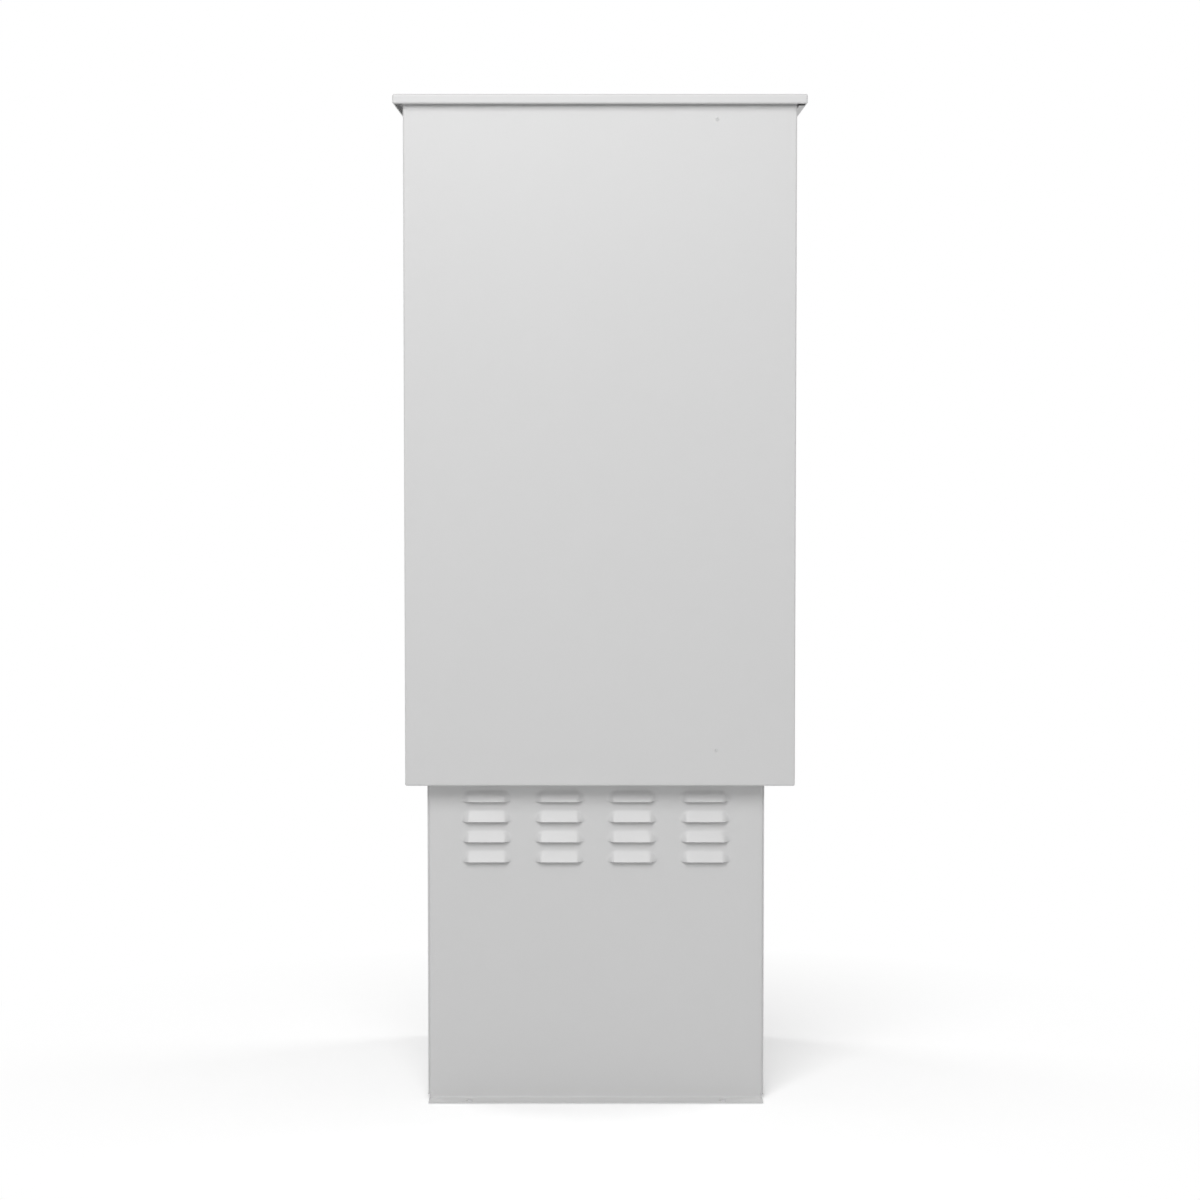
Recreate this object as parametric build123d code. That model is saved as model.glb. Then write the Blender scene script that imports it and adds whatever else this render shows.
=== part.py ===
from build123d import *
import os

# Outdoor network cabinet: a folded steel body with one inset door, a rain roof and a louvred plinth.
# Millimetres. The origin is on the ground, in the middle of the four anchor holes. +X points out
# through the door, +Y to the right-hand wall as seen from the door, and +Z up.

# Sheet metal
BODY_SHEET = 1.5
PLINTH_SHEET = 2.0
RAIL_SHEET = 2.0
BEND = 1.5  # inside radius of every fold

# Clearances
CLEAR = 0.3  # between pieces that move past each other
RUN_FIT = 0.05  # radial, for pins and spindles in their bores
HOLE_FIT = 0.5  # radial, for fasteners in their holes

# Fastener proportions, as shares of the thread
HEX_ACROSS = 1.65
HEX_HEAD = 0.65
NUT_HEIGHT = 0.8
PAN_HEIGHT = 0.6
PAN_CROWN = 0.75
BOLT_PAST = 1.2  # length of a bolt past the sheets it holds

# Body
BODY_DEPTH = 650.0
BODY_WIDTH = 650.0
BODY_HEIGHT = 1140.0
FACE_FLANGE = 24.0  # front edge folded in round the door
TOP_FLANGE = 70.0

# Roof
ROOF_OVERHANG = 16.5
ROOF_FASCIA = 16.0
ROOF_RETURN = 12.0
ROOF_NOTCH = 48.0  # the return over the door stops this far from its two corners
ROOF_SEAL = 3.0
ROOF_SEAL_WIDTH = 30.0
ROOF_SEAL_IN = 10.0
ROOF_STUD = 8.0
ROOF_STUD_IN = 56.0
ROOF_STUD_LENGTH = 22.0

# Plinth
PLINTH_HEIGHT = 535.0
PLINTH_IN_FRONT = 49.0  # the plinth stands this far in under the door
PLINTH_IN_REAR = 35.0
PLINTH_IN_SIDE = 40.0
PLINTH_RETURN = 30.0
PLINTH_TOP_FLANGE = 35.0
BASE_FLANGE = 41.0
ANCHOR_HOLE = 13.0
ANCHOR_FROM_END = 70.0
ANCHOR_FROM_WALL = 24.0
PLINTH_BOLT = 10.0
PLINTH_BOLT_SPACING = 200.0
COVER_EDGE = 3.0
COVER_LIFT = 6.0
COVER_SCREW = 5.0
COVER_SCREW_END = 60.0
COVER_SCREW_LENGTH = 10.0

# Louvres pressed out of the plinth walls, open along their lower lip
LOUVRE_LENGTH = 81.0
LOUVRE_DEPTH = 9.0
LOUVRE_RISE = 19.0
LOUVRE_CORNER = 14.0  # radius of the two upper corners
LOUVRE_DRAFT = 45.0  # degrees, slope of the ends
LOUVRE_COLUMNS = 4
LOUVRE_ROWS = 4
LOUVRE_COLUMN_PITCH = 122.5
LOUVRE_ROW_PITCH = 34.0
LOUVRE_TOP_LIP = 30.5  # highest lip below the top of the plinth

# Floor and cable entry
FLOOR_LAP = 12.0
FLOOR_EDGE = 12.0
FLANGE_PAST_PLINTH = 15.0
CABLE_CUT_DEPTH = 110.0
CABLE_CUT_WIDTH = 330.0
GLAND_LAP = 18.0
GLAND_SHEET = 2.0
GLAND_GASKET = 2.0
GLAND_CORNER = 6.0
GLAND_SCREW = 5.0
GLAND_SCREW_LENGTH = 8.5
GLAND_SCREWS_ALONG = 4
GROMMETS = 4
GROMMET_PITCH = 78.0
GROMMET_BORE = 54.0
GROMMET_LIP = 4.0
GROMMET_NOSE = 22.0
GROMMET_NOSE_ROOT = 38.0
GROMMET_NOSE_TIP = 19.0

# Door
DOOR_GAP = 3.0
DOOR_THICK = 22.0
SEAL_THICK = 4.2
SEAL_WIDTH = 10.0
SEAL_PAST_HINGE = 11.0
SEAL_MARGIN = 2.0
STIFFENER_WIDTH = 40.0
STIFFENER_DEPTH = 15.0
STIFFENER_FOOT = 14.0
STIFFENER_END = 70.0

# Hinge pins, one at the head and one at the foot of the door
HINGE_IN = 12.0
HINGE_BACK = 7.5
HINGE_PIN = 7.0
HINGE_PIN_TIP = 0.75
BUSH_WALL = 1.5
BUSH_FLANGE = 3.5
BUSH_LENGTH = 9.0
HINGE_BLOCK = 12.0
HINGE_BLOCK_HEIGHT = 16.0
HINGE_BLOCK_FRONT = 4.0

# Lock
HANDLE_IN = 73.0
HANDLE_LENGTH = 112.0
HANDLE_HUB = 28.0
HANDLE_TIP = 16.0
HANDLE_THICK = 9.0
HANDLE_RISE = 24.0
HANDLE_NECK = 22.0
HANDLE_EDGE = 3.0
SPINDLE = 12.0
SPINDLE_END = 10.0
ESCUTCHEON_WIDTH = 46.0
ESCUTCHEON_HEIGHT = 84.0
ESCUTCHEON_THICK = 5.0
ESCUTCHEON_CORNER = 10.0
ESCUTCHEON_EDGE = 1.7
ESCUTCHEON_SCREW = 4.0
ESCUTCHEON_SCREW_Y = 25.0
ESCUTCHEON_SCREW_Z = 64.0
ESCUTCHEON_SCREW_BITE = 8.0
KEY_PLUG = 11.0
KEY_PLUG_LENGTH = 14.0
KEY_SLOT_WIDTH = 1.6
KEY_SLOT_HEIGHT = 6.5
KEY_SLOT_DEPTH = 4.0
LOCK_CASE_WIDTH = 36.0
LOCK_CASE_HEIGHT = 110.0
LOCK_CASE_DEPTH = 15.0
CAM_THICK = 4.0
CAM_REACH = 60.0
CAM_HUB = 22.0
CAM_TIP = 16.0
CAM_BEHIND_LIP = 1.0
CAM_SCREW = 5.0
CAM_SCREW_LENGTH = 15.0
ROD_WIDTH = 10.0
ROD_THICK = 5.0
ROD_BACK = 9.5
ROD_TRAVEL = 18.0
ROD_HELD = 15.0  # length of a rod still inside the lock case when the rod is out
ROD_BEVEL = 2.5
ROD_BELOW_EDGE = 1.0
ROD_SLOT_DEPTH = 38.0
GUIDE_WIDTH = 24.0
GUIDE_HEIGHT = 12.0
GUIDE_FROM_EDGE = 60.0

# Rack rails, brackets and rivets
RACK_UNIT = 44.45
RACK_UNITS = 24
RACK_HOLE_SPAN = 465.1
RACK_OPENING = 450.0
RACK_HOLE = 9.5
RACK_HOLE_SHARES = (1 / 7, 1 / 2, 6 / 7)  # hole middles up one rack unit
RAIL_LENGTH = 1090.0
RAIL_FACE = 31.0
RAIL_WEB = 40.0
RAIL_FOOT = 24.0
RIVET_BACK = 132.0
RIVET_BELOW_TOP = 35.5
RIVET_ABOVE_FLOOR = 60.0
RIVET_SHANK = 4.0
RIVET_HEAD = 7.0
RIVET_DOME = 1.0
RIVET_CROWN = 4.7
RIVET_TAIL = 2.0
BRACKET_LENGTH = 50.0
BRACKET_HEIGHT = 42.0
RAIL_BOLT = 6.0
RAIL_BOLT_SPACING = 20.0

# Earth bar on the rear wall
EARTH_LENGTH = 200.0
EARTH_HEIGHT = 22.0
EARTH_THICK = 5.0
EARTH_POST = 14.0
EARTH_STANDOFF = 26.0
EARTH_ABOVE_FLOOR = 110.0
EARTH_POST_SPACING = 160.0
EARTH_SCREW = 6.0
EARTH_SCREW_LENGTH = 11.0
EARTH_POST_TAP = 12.0
EARTH_TERMINALS = 4
EARTH_TERMINAL_PITCH = 30.0

# Faces that the pieces are placed from
BODY_AHEAD = (PLINTH_IN_FRONT - PLINTH_IN_REAR) / 2
PLINTH_DEPTH = BODY_DEPTH - PLINTH_IN_FRONT - PLINTH_IN_REAR
PLINTH_WIDTH = BODY_WIDTH - 2 * PLINTH_IN_SIDE
ANCHOR_SPACING = PLINTH_DEPTH - 2 * ANCHOR_FROM_END
FRONT = BODY_AHEAD + BODY_DEPTH / 2
REAR = BODY_AHEAD - BODY_DEPTH / 2
SIDE = BODY_WIDTH / 2
FLOOR = PLINTH_HEIGHT
TOP = FLOOR + BODY_HEIGHT
OPEN_SIDE = SIDE - FACE_FLANGE
OPEN_LOW = FLOOR + FACE_FLANGE
OPEN_HIGH = TOP - FACE_FLANGE
DOOR_SIDE = OPEN_SIDE - DOOR_GAP
DOOR_LOW = OPEN_LOW + DOOR_GAP
DOOR_HIGH = OPEN_HIGH - DOOR_GAP
DOOR_BACK = FRONT - DOOR_THICK
SKIN_BACK = FRONT - BODY_SHEET
LIP_FRONT = DOOR_BACK - CLEAR - SEAL_THICK
LIP_BACK = LIP_FRONT - BODY_SHEET
SEAL_IN = DOOR_GAP + HINGE_IN + SEAL_PAST_HINGE
LIP_WIDTH = SEAL_IN + SEAL_WIDTH + SEAL_MARGIN
DOOR_FLANGE = LIP_WIDTH - DOOR_GAP
ROOF_TOP = TOP + ROOF_SEAL + BODY_SHEET
ROOF_LOW = ROOF_TOP - ROOF_FASCIA
ROOF_SIDE = SIDE + ROOF_OVERHANG
WALL_END = PLINTH_DEPTH / 2 - PLINTH_SHEET
WALL_FACE = PLINTH_WIDTH / 2
ANCHOR_Y = WALL_FACE + ANCHOR_FROM_WALL
PLINTH_BOLT_Y = WALL_FACE - PLINTH_TOP_FLANGE / 2
COVER_SCREW_Y = WALL_FACE - PLINTH_RETURN / 2
FLOOR_HALF_Y = WALL_FACE - PLINTH_TOP_FLANGE - FLANGE_PAST_PLINTH
FLOOR_HALF_X = WALL_END - PLINTH_TOP_FLANGE - FLANGE_PAST_PLINTH
FLOOR_FACE = FLOOR + 2 * BODY_SHEET
GLAND_FACE = FLOOR_FACE + GLAND_GASKET + GLAND_SHEET
HINGE_X = FRONT - HINGE_BACK
HINGE_Y = HINGE_IN - DOOR_SIDE
HANDLE_Y = DOOR_SIDE - HANDLE_IN
HANDLE_Z = (OPEN_LOW + OPEN_HIGH) / 2
ROD_X = FRONT - ROD_BACK
ROD_FROM_SPINDLE = LOCK_CASE_HEIGHT / 2 - ROD_HELD - ROD_TRAVEL
RIVET_X = FRONT - RIVET_BACK
RIVET_LEVELS = (FLOOR + RIVET_ABOVE_FLOOR, TOP - RIVET_BELOW_TOP)
BRACKET_BACK = RIVET_X - BRACKET_LENGTH / 2
RAIL_FRONT = BRACKET_BACK + 2 * RAIL_SHEET + RAIL_WEB
RAIL_OUT = RACK_OPENING / 2 + RAIL_FACE
RAIL_BOLT_Y = RAIL_OUT + RAIL_FOOT / 2
RAIL_MIDDLE = sum(RIVET_LEVELS) / 2
EARTH_BACK = REAR + BODY_SHEET + EARTH_STANDOFF
EARTH_Z = FLOOR + EARTH_ABOVE_FLOOR

LOW = (Align.CENTER, Align.CENTER, Align.MIN)
CORNER = (Align.MIN, Align.MIN, Align.MIN)


def block(x, y, z):
    """A box between two ends on each axis."""
    return Pos(x[0], y[0], z[0]) * Box(x[1] - x[0], y[1] - y[0], z[1] - z[0], align=CORNER)


def spread(half):
    """The two ends of a length that is centred on zero."""
    return (-half, half)


def about(middle, length):
    """The two ends of a length with a given middle."""
    return (middle - length / 2, middle + length / 2)


def round_bar(at, along, diameter, length):
    """A cylinder that starts at a point and runs along a direction."""
    return Plane(at, z_dir=along) * Cylinder(diameter / 2, length, align=LOW)


def group(pieces):
    """Separate solids kept together in one node."""
    return Compound([solid for piece in pieces for solid in piece.solids()])


def folded_box(x, y, z, sheet):
    """A closed box of folded sheet, with every edge bent and the corners welded and ground."""
    outer = fillet(block(x, y, z).edges(), BEND + sheet)
    inside = [(ends[0] + sheet, ends[1] - sheet) for ends in (x, y, z)]
    return outer - fillet(block(*inside).edges(), BEND)


def folded_strip(points, radii, sheet, side):
    """The section of a sheet folded along a line of points, with its thickness on one side."""
    return make_face(offset(FilletPolyline(*points, radius=radii), amount=sheet, side=side))


def hexagon(at, along, across, height):
    """A hexagonal prism that starts at a point and runs along a direction."""
    return Plane(at, z_dir=along) * extrude(RegularPolygon(across / 2, 6, major_radius=False), height)


def hex_bolt(at, along, thread, length):
    """A hexagon-head bolt whose head seats at a point and whose shank runs along a direction."""
    back = tuple(-part for part in along)
    head = hexagon(at, back, HEX_ACROSS * thread, HEX_HEAD * thread)
    return head + round_bar(at, along, thread, length)


def hex_nut(at, along, thread):
    """A hexagon nut that seats at a point and stands along a direction."""
    bore = round_bar(at, along, thread + 2 * RUN_FIT, thread)
    return hexagon(at, along, HEX_ACROSS * thread, NUT_HEIGHT * thread) - bore


def pan_screw(at, along, thread, length):
    """A pan-head screw whose head seats at a point and whose shank runs along a direction."""
    back = tuple(-part for part in along)
    head = Plane(at, z_dir=back) * Cone(thread, PAN_CROWN * thread, PAN_HEIGHT * thread, align=LOW)
    return head + round_bar(at, along, thread, length)


def louvre_outline(length, low, rise, corner):
    """The outline of a louvre on the left-hand wall, with its two upper corners rounded."""
    outline = Pos(0, low) * Rectangle(length, rise - low, align=(Align.CENTER, Align.MIN))
    return Plane.XZ * fillet(outline.vertices().group_by(Axis.Y)[-1], corner)


def louvre_form(length, depth, rise, corner):
    """A wedge with its edge at the top, its lip at z = 0 and its ends drawn in at a slope."""
    drawn = extrude(louvre_outline(length, -2 * depth, rise, corner), depth, taper=LOUVRE_DRAFT)
    section = Plane.YZ * make_face(Polyline((0, 0), (-depth, 0), (0, rise), close=True))
    return drawn & extrude(section, length / 2, both=True)


def louvre_places():
    """The middle of each louvre's lip on the left-hand plinth wall."""
    first = -LOUVRE_COLUMN_PITCH * (LOUVRE_COLUMNS - 1) / 2
    return [
        Pos(
            first + column * LOUVRE_COLUMN_PITCH,
            -WALL_FACE,
            PLINTH_HEIGHT - LOUVRE_TOP_LIP - row * LOUVRE_ROW_PITCH,
        )
        for column in range(LOUVRE_COLUMNS)
        for row in range(LOUVRE_ROWS)
    ]


def press_louvres(wall):
    """The wall with every louvre drawn out of it, its sheet kept at one thickness."""
    slant = (LOUVRE_DEPTH**2 + LOUVRE_RISE**2) ** 0.5
    depth = LOUVRE_DEPTH - PLINTH_SHEET * slant / LOUVRE_RISE
    rise = LOUVRE_RISE * depth / LOUVRE_DEPTH
    inset = PLINTH_SHEET / Vector(1, 0, 0).rotate(Axis.Z, LOUVRE_DRAFT).X
    length = LOUVRE_LENGTH - 2 * inset
    corner = LOUVRE_CORNER - inset
    outer = louvre_form(LOUVRE_LENGTH, LOUVRE_DEPTH, LOUVRE_RISE, LOUVRE_CORNER)
    mouth = extrude(louvre_outline(length, 0, rise, corner), -PLINTH_SHEET)
    inner = louvre_form(length, depth, rise, corner) + mouth
    wall = wall + [place * outer for place in louvre_places()]
    return wall - [place * inner for place in louvre_places()]


def plinth_wall():
    """Left-hand plinth wall: louvred sheet, base flange out, top flange and two end returns in."""
    bent = BEND + PLINTH_SHEET
    section = folded_strip(
        [
            (-WALL_FACE - BASE_FLANGE, PLINTH_SHEET),
            (-WALL_FACE, PLINTH_SHEET),
            (-WALL_FACE, PLINTH_HEIGHT),
            (-WALL_FACE + PLINTH_TOP_FLANGE, PLINTH_HEIGHT),
        ],
        (BEND, bent),
        PLINTH_SHEET,
        Side.RIGHT,
    )
    straight = WALL_END - bent
    web = Pos(-straight, 0, 0) * extrude(Plane.YZ * section, 2 * straight)
    foot = folded_strip(
        [
            (-WALL_FACE - BASE_FLANGE, PLINTH_SHEET),
            (-WALL_FACE, PLINTH_SHEET),
            (-WALL_FACE, PLINTH_SHEET + 2 * bent),
        ],
        (BEND,),
        PLINTH_SHEET,
        Side.RIGHT,
    )
    base = Pos(-WALL_END, 0, 0) * extrude(Plane.YZ * foot, 2 * WALL_END)
    corner = folded_strip(
        [
            (straight - bent, -WALL_FACE),
            (WALL_END, -WALL_FACE),
            (WALL_END, -WALL_FACE + PLINTH_RETURN),
        ],
        (bent,),
        PLINTH_SHEET,
        Side.LEFT,
    )
    height = PLINTH_HEIGHT - PLINTH_SHEET - 4 * bent
    end = Pos(0, 0, PLINTH_SHEET + 2 * bent) * extrude(corner, height)
    wall = press_louvres(web + base + end + mirror(end, about=Plane.YZ))
    anchors = [
        round_bar((x, -ANCHOR_Y, 0), (0, 0, 1), ANCHOR_HOLE, PLINTH_SHEET)
        for x in spread(ANCHOR_SPACING / 2)
    ]
    bolts = [
        round_bar((x, -PLINTH_BOLT_Y, PLINTH_HEIGHT), (0, 0, -1), PLINTH_BOLT + 2 * HOLE_FIT, PLINTH_SHEET)
        for x in plinth_bolt_places()
    ]
    screws = [
        round_bar((x, -COVER_SCREW_Y, z), (-x, 0, 0), COVER_SCREW + 2 * RUN_FIT, PLINTH_SHEET)
        for x in spread(WALL_END)
        for z in cover_screw_levels()
    ]
    return wall - anchors - bolts - screws


def plinth_bolt_places():
    """Where the bolts through the top flange stand along the wall."""
    return (-PLINTH_BOLT_SPACING, 0, PLINTH_BOLT_SPACING)


def cover_screw_levels():
    """Heights of the cover screws."""
    return (COVER_SCREW_END, PLINTH_HEIGHT / 2, PLINTH_HEIGHT - COVER_SCREW_END)


def plinth_cover(facing):
    """Flat cover screwed over the end of the plinth that faces +X or -X."""
    x = sorted((facing * WALL_END, facing * PLINTH_DEPTH / 2))
    z = (COVER_LIFT, PLINTH_HEIGHT - COVER_LIFT)
    sheet = block(x, spread(WALL_FACE - COVER_EDGE), z)
    sheet = fillet(sheet.edges().filter_by(Axis.X), COVER_EDGE)
    return sheet - [flat_head(place, (-facing, 0, 0)) for place in cover_screw_places(facing)]


def cover_screw_places(facing):
    """Where the screws lie flush in the outer face of a cover."""
    face = facing * PLINTH_DEPTH / 2
    return [(face, y, z) for y in spread(COVER_SCREW_Y) for z in cover_screw_levels()]


def flat_head(at, along):
    """The countersunk head of a cover screw, as deep as the cover."""
    return Plane(at, z_dir=along) * Cone(COVER_SCREW, COVER_SCREW / 2, PLINTH_SHEET, align=LOW)


def plinth_cover_screws():
    """Countersunk screws of both plinth covers."""
    return group(
        flat_head(place, (-facing, 0, 0))
        + round_bar(place, (-facing, 0, 0), COVER_SCREW, COVER_SCREW_LENGTH)
        for facing in (-1, 1)
        for place in cover_screw_places(facing)
    )


def plinth_bolts():
    """Bolts from the cabinet floor down through the plinth's top flanges."""
    length = BODY_SHEET + PLINTH_SHEET + BOLT_PAST * PLINTH_BOLT
    return group(
        hex_bolt((x, y, FLOOR + BODY_SHEET), (0, 0, -1), PLINTH_BOLT, length)
        for x in plinth_bolt_places()
        for y in spread(PLINTH_BOLT_Y)
    )


def plinth_nuts():
    """Nuts of the plinth bolts, under the top flanges."""
    return group(
        hex_nut((x, y, FLOOR - PLINTH_SHEET), (0, 0, -1), PLINTH_BOLT)
        for x in plinth_bolt_places()
        for y in spread(PLINTH_BOLT_Y)
    )


def body_wrap():
    """Rear and side walls with their front, top and bottom edges folded in."""
    wrap = folded_box((REAR, FRONT), spread(SIDE), (FLOOR, TOP), BODY_SHEET)
    cuts = [
        block((SKIN_BACK - BEND, FRONT), spread(OPEN_SIDE), (OPEN_LOW, OPEN_HIGH)),
        block(spread(FLOOR_HALF_X), spread(FLOOR_HALF_Y), (FLOOR, FLOOR + BODY_SHEET)),
        block(
            (REAR + TOP_FLANGE, FRONT - TOP_FLANGE),
            spread(SIDE - TOP_FLANGE),
            (TOP - BODY_SHEET, TOP),
        ),
    ]
    cuts += [
        round_bar((x, y, FLOOR), (0, 0, 1), PLINTH_BOLT + 2 * HOLE_FIT, BODY_SHEET)
        for x in plinth_bolt_places()
        for y in spread(PLINTH_BOLT_Y)
    ]
    cuts += [
        round_bar((x, y, TOP), (0, 0, -1), ROOF_STUD + 2 * HOLE_FIT, BODY_SHEET)
        for x, y in roof_stud_places()
    ]
    cuts += [
        round_bar((RIVET_X, y, z), (0, -y, 0), RIVET_SHANK, BODY_SHEET)
        for y in spread(SIDE)
        for z in RIVET_LEVELS
    ]
    return wrap - cuts


def roof_stud_places():
    """The four studs stand inside the corners of the top flange."""
    ends = (REAR + ROOF_STUD_IN, FRONT - ROOF_STUD_IN)
    return [(x, y) for x in ends for y in spread(SIDE - ROOF_STUD_IN)]


def roof():
    """Flat rain roof: a tray with a return under its edges, open behind and over the door's corners."""
    x = (REAR - ROOF_OVERHANG, FRONT + ROOF_OVERHANG)
    tray = folded_box(x, spread(ROOF_SIDE), (ROOF_LOW, ROOF_TOP), BODY_SHEET)
    bent = BEND + BODY_SHEET
    under = (ROOF_LOW, ROOF_LOW + BODY_SHEET)
    mouth = block((REAR, x[1] - ROOF_RETURN), spread(ROOF_SIDE - ROOF_RETURN), under)
    behind = block((x[0] + bent, REAR), spread(ROOF_SIDE - bent), under)
    notch = block((FRONT, x[1] - bent), (bent - ROOF_SIDE, ROOF_NOTCH - ROOF_SIDE), under)
    return tray - mouth - behind - notch - mirror(notch, about=Plane.XZ)


def roof_studs():
    """Threaded studs welded under the roof."""
    return group(
        round_bar((x, y, TOP + ROOF_SEAL), (0, 0, -1), ROOF_STUD, ROOF_STUD_LENGTH)
        for x, y in roof_stud_places()
    )


def roof_nuts():
    """Nuts that hold the roof down from inside."""
    return group(
        hex_nut((x, y, TOP - BODY_SHEET), (0, 0, -1), ROOF_STUD) for x, y in roof_stud_places()
    )


def roof_seal():
    """Foam strips between the top flange and the roof."""
    far = SIDE - ROOF_SEAL_IN
    near = far - ROOF_SEAL_WIDTH
    z = (TOP, TOP + ROOF_SEAL)
    front = (FRONT - ROOF_SEAL_IN - ROOF_SEAL_WIDTH, FRONT - ROOF_SEAL_IN)
    rear = (REAR + ROOF_SEAL_IN, REAR + ROOF_SEAL_IN + ROOF_SEAL_WIDTH)
    return group(
        [
            block((rear[0], front[1]), (-far, -near), z),
            block((rear[0], front[1]), (near, far), z),
            block(rear, spread(near), z),
            block(front, spread(near), z),
        ]
    )


def floor_panel():
    """Floor tray that closes the bottom of the body, with an upstand and the cable cut-out."""
    x = spread(FLOOR_HALF_X + FLOOR_LAP)
    y = spread(FLOOR_HALF_Y + FLOOR_LAP)
    low = FLOOR + BODY_SHEET
    rim = low + FLOOR_EDGE
    lid = rim + 2 * (BEND + BODY_SHEET)
    tray = folded_box(x, y, (low, lid), BODY_SHEET)
    above = block(x, y, (rim, lid))
    hole = block(spread(CABLE_CUT_DEPTH / 2), spread(CABLE_CUT_WIDTH / 2), (low, FLOOR_FACE))
    holes = [
        round_bar((px, py, low), (0, 0, 1), GLAND_SCREW + 2 * RUN_FIT, BODY_SHEET)
        for px, py in gland_screw_places()
    ]
    return tray - above - hole - holes


def gland_screw_places():
    """Screws round the gland plate, along its two long edges."""
    x = CABLE_CUT_DEPTH / 2 + GLAND_LAP / 2
    pitch = (CABLE_CUT_WIDTH + GLAND_LAP) / (GLAND_SCREWS_ALONG - 1)
    first = -(CABLE_CUT_WIDTH + GLAND_LAP) / 2
    return [(side, first + step * pitch) for side in spread(x) for step in range(GLAND_SCREWS_ALONG)]


def gland_sheet(z, holes):
    """A flat sheet the size of the gland plate with rounded corners and its screw holes."""
    x = spread(CABLE_CUT_DEPTH / 2 + GLAND_LAP)
    y = spread(CABLE_CUT_WIDTH / 2 + GLAND_LAP)
    sheet = fillet(block(x, y, z).edges().filter_by(Axis.Z), GLAND_CORNER)
    screws = [
        round_bar((px, py, z[0]), (0, 0, 1), GLAND_SCREW + 2 * HOLE_FIT, z[1] - z[0])
        for px, py in gland_screw_places()
    ]
    return sheet - screws - holes


def gland_plate():
    """Removable plate over the cable cut-out, with a hole for each grommet."""
    z = (FLOOR_FACE + GLAND_GASKET, GLAND_FACE)
    holes = [round_bar((0, y, z[0]), (0, 0, 1), GROMMET_BORE, GLAND_SHEET) for y in grommet_places()]
    return gland_sheet(z, holes)


def gland_gasket():
    """Flat gasket between the floor and the gland plate."""
    z = (FLOOR_FACE, FLOOR_FACE + GLAND_GASKET)
    return gland_sheet(z, [block(spread(CABLE_CUT_DEPTH / 2), spread(CABLE_CUT_WIDTH / 2), z)])


def gland_screws():
    """Pan-head screws of the gland plate."""
    return group(
        pan_screw((x, y, GLAND_FACE), (0, 0, -1), GLAND_SCREW, GLAND_SCREW_LENGTH)
        for x, y in gland_screw_places()
    )


def grommet_places():
    """The grommets stand in one row across the gland plate."""
    first = -GROMMET_PITCH * (GROMMETS - 1) / 2
    return [first + step * GROMMET_PITCH for step in range(GROMMETS)]


def cable_grommets():
    """Uncut membrane grommets with a stepped nose, snapped into the gland plate."""
    bore = GROMMET_BORE / 2
    low = GLAND_FACE - GLAND_SHEET
    lip = GROMMET_LIP / 2
    profile = make_face(
        Polyline(
            (0, low - lip),
            (bore + lip, low - lip),
            (bore + lip, low),
            (bore, low),
            (bore, GLAND_FACE),
            (bore + GROMMET_LIP, GLAND_FACE),
            (bore + lip, GLAND_FACE + GROMMET_LIP),
            (GROMMET_NOSE_ROOT / 2, GLAND_FACE + GROMMET_LIP),
            (GROMMET_NOSE_TIP / 2, GLAND_FACE + GROMMET_NOSE),
            (0, GLAND_FACE + GROMMET_NOSE),
            close=True,
        )
    )
    grommet = revolve(Plane.XZ * profile, Axis.Z)
    return group(Pos(0, y, 0) * grommet for y in grommet_places())


def door_frame():
    """Rebate welded behind the front flanges: a step back and an inward lip that carries the seal."""
    outer = (SIDE - FACE_FLANGE + BODY_SHEET, OPEN_LOW - BODY_SHEET, OPEN_HIGH + BODY_SHEET)
    x = (LIP_BACK, FRONT + DOOR_THICK)
    ring = folded_box(x, spread(outer[0]), outer[1:], BODY_SHEET)
    ahead = block((SKIN_BACK, x[1]), spread(outer[0]), outer[1:])
    mouth = block(
        (LIP_BACK, LIP_FRONT),
        spread(OPEN_SIDE - LIP_WIDTH),
        (OPEN_LOW + LIP_WIDTH, OPEN_HIGH - LIP_WIDTH),
    )
    room = 2 * HOLE_FIT
    keepers = [
        block(about(ROD_X, ROD_THICK + 2 * room), about(HANDLE_Y, ROD_WIDTH + 2 * room), z)
        for z in ((OPEN_LOW - BODY_SHEET, OPEN_LOW), (OPEN_HIGH, OPEN_HIGH + BODY_SHEET))
    ]
    bushes = [
        round_bar((HINGE_X, HINGE_Y, z), (0, 0, up), HINGE_PIN + 2 * BUSH_WALL, BODY_SHEET)
        for z, up in ((OPEN_LOW, -1), (OPEN_HIGH, 1))
    ]
    return ring - ahead - mouth - keepers - bushes


def door_seal():
    """Four foam strips on the lip, butted at the corners, which the shut door presses on."""
    x = (LIP_FRONT, LIP_FRONT + SEAL_THICK)
    far = OPEN_SIDE - SEAL_IN
    near = far - SEAL_WIDTH
    low = OPEN_LOW + SEAL_IN
    high = OPEN_HIGH - SEAL_IN
    return group(
        [
            block(x, (-far, -near), (low, high)),
            block(x, (near, far), (low, high)),
            block(x, spread(near), (low, low + SEAL_WIDTH)),
            block(x, spread(near), (high - SEAL_WIDTH, high)),
        ]
    )


def hinge_bush(z, up):
    """Flanged bush in the frame: the flange fills the door gap and the barrel holds the pin."""
    flange = round_bar(
        (HINGE_X, HINGE_Y, z),
        (0, 0, -up),
        HINGE_PIN + 2 * BUSH_FLANGE,
        DOOR_GAP - CLEAR,
    )
    barrel = round_bar((HINGE_X, HINGE_Y, z), (0, 0, up), HINGE_PIN + 2 * BUSH_WALL, BUSH_LENGTH)
    start = (HINGE_X, HINGE_Y, z - up * DOOR_GAP)
    bore = round_bar(start, (0, 0, up), HINGE_PIN + 2 * RUN_FIT, DOOR_GAP + BUSH_LENGTH)
    return flange + barrel - bore


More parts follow.
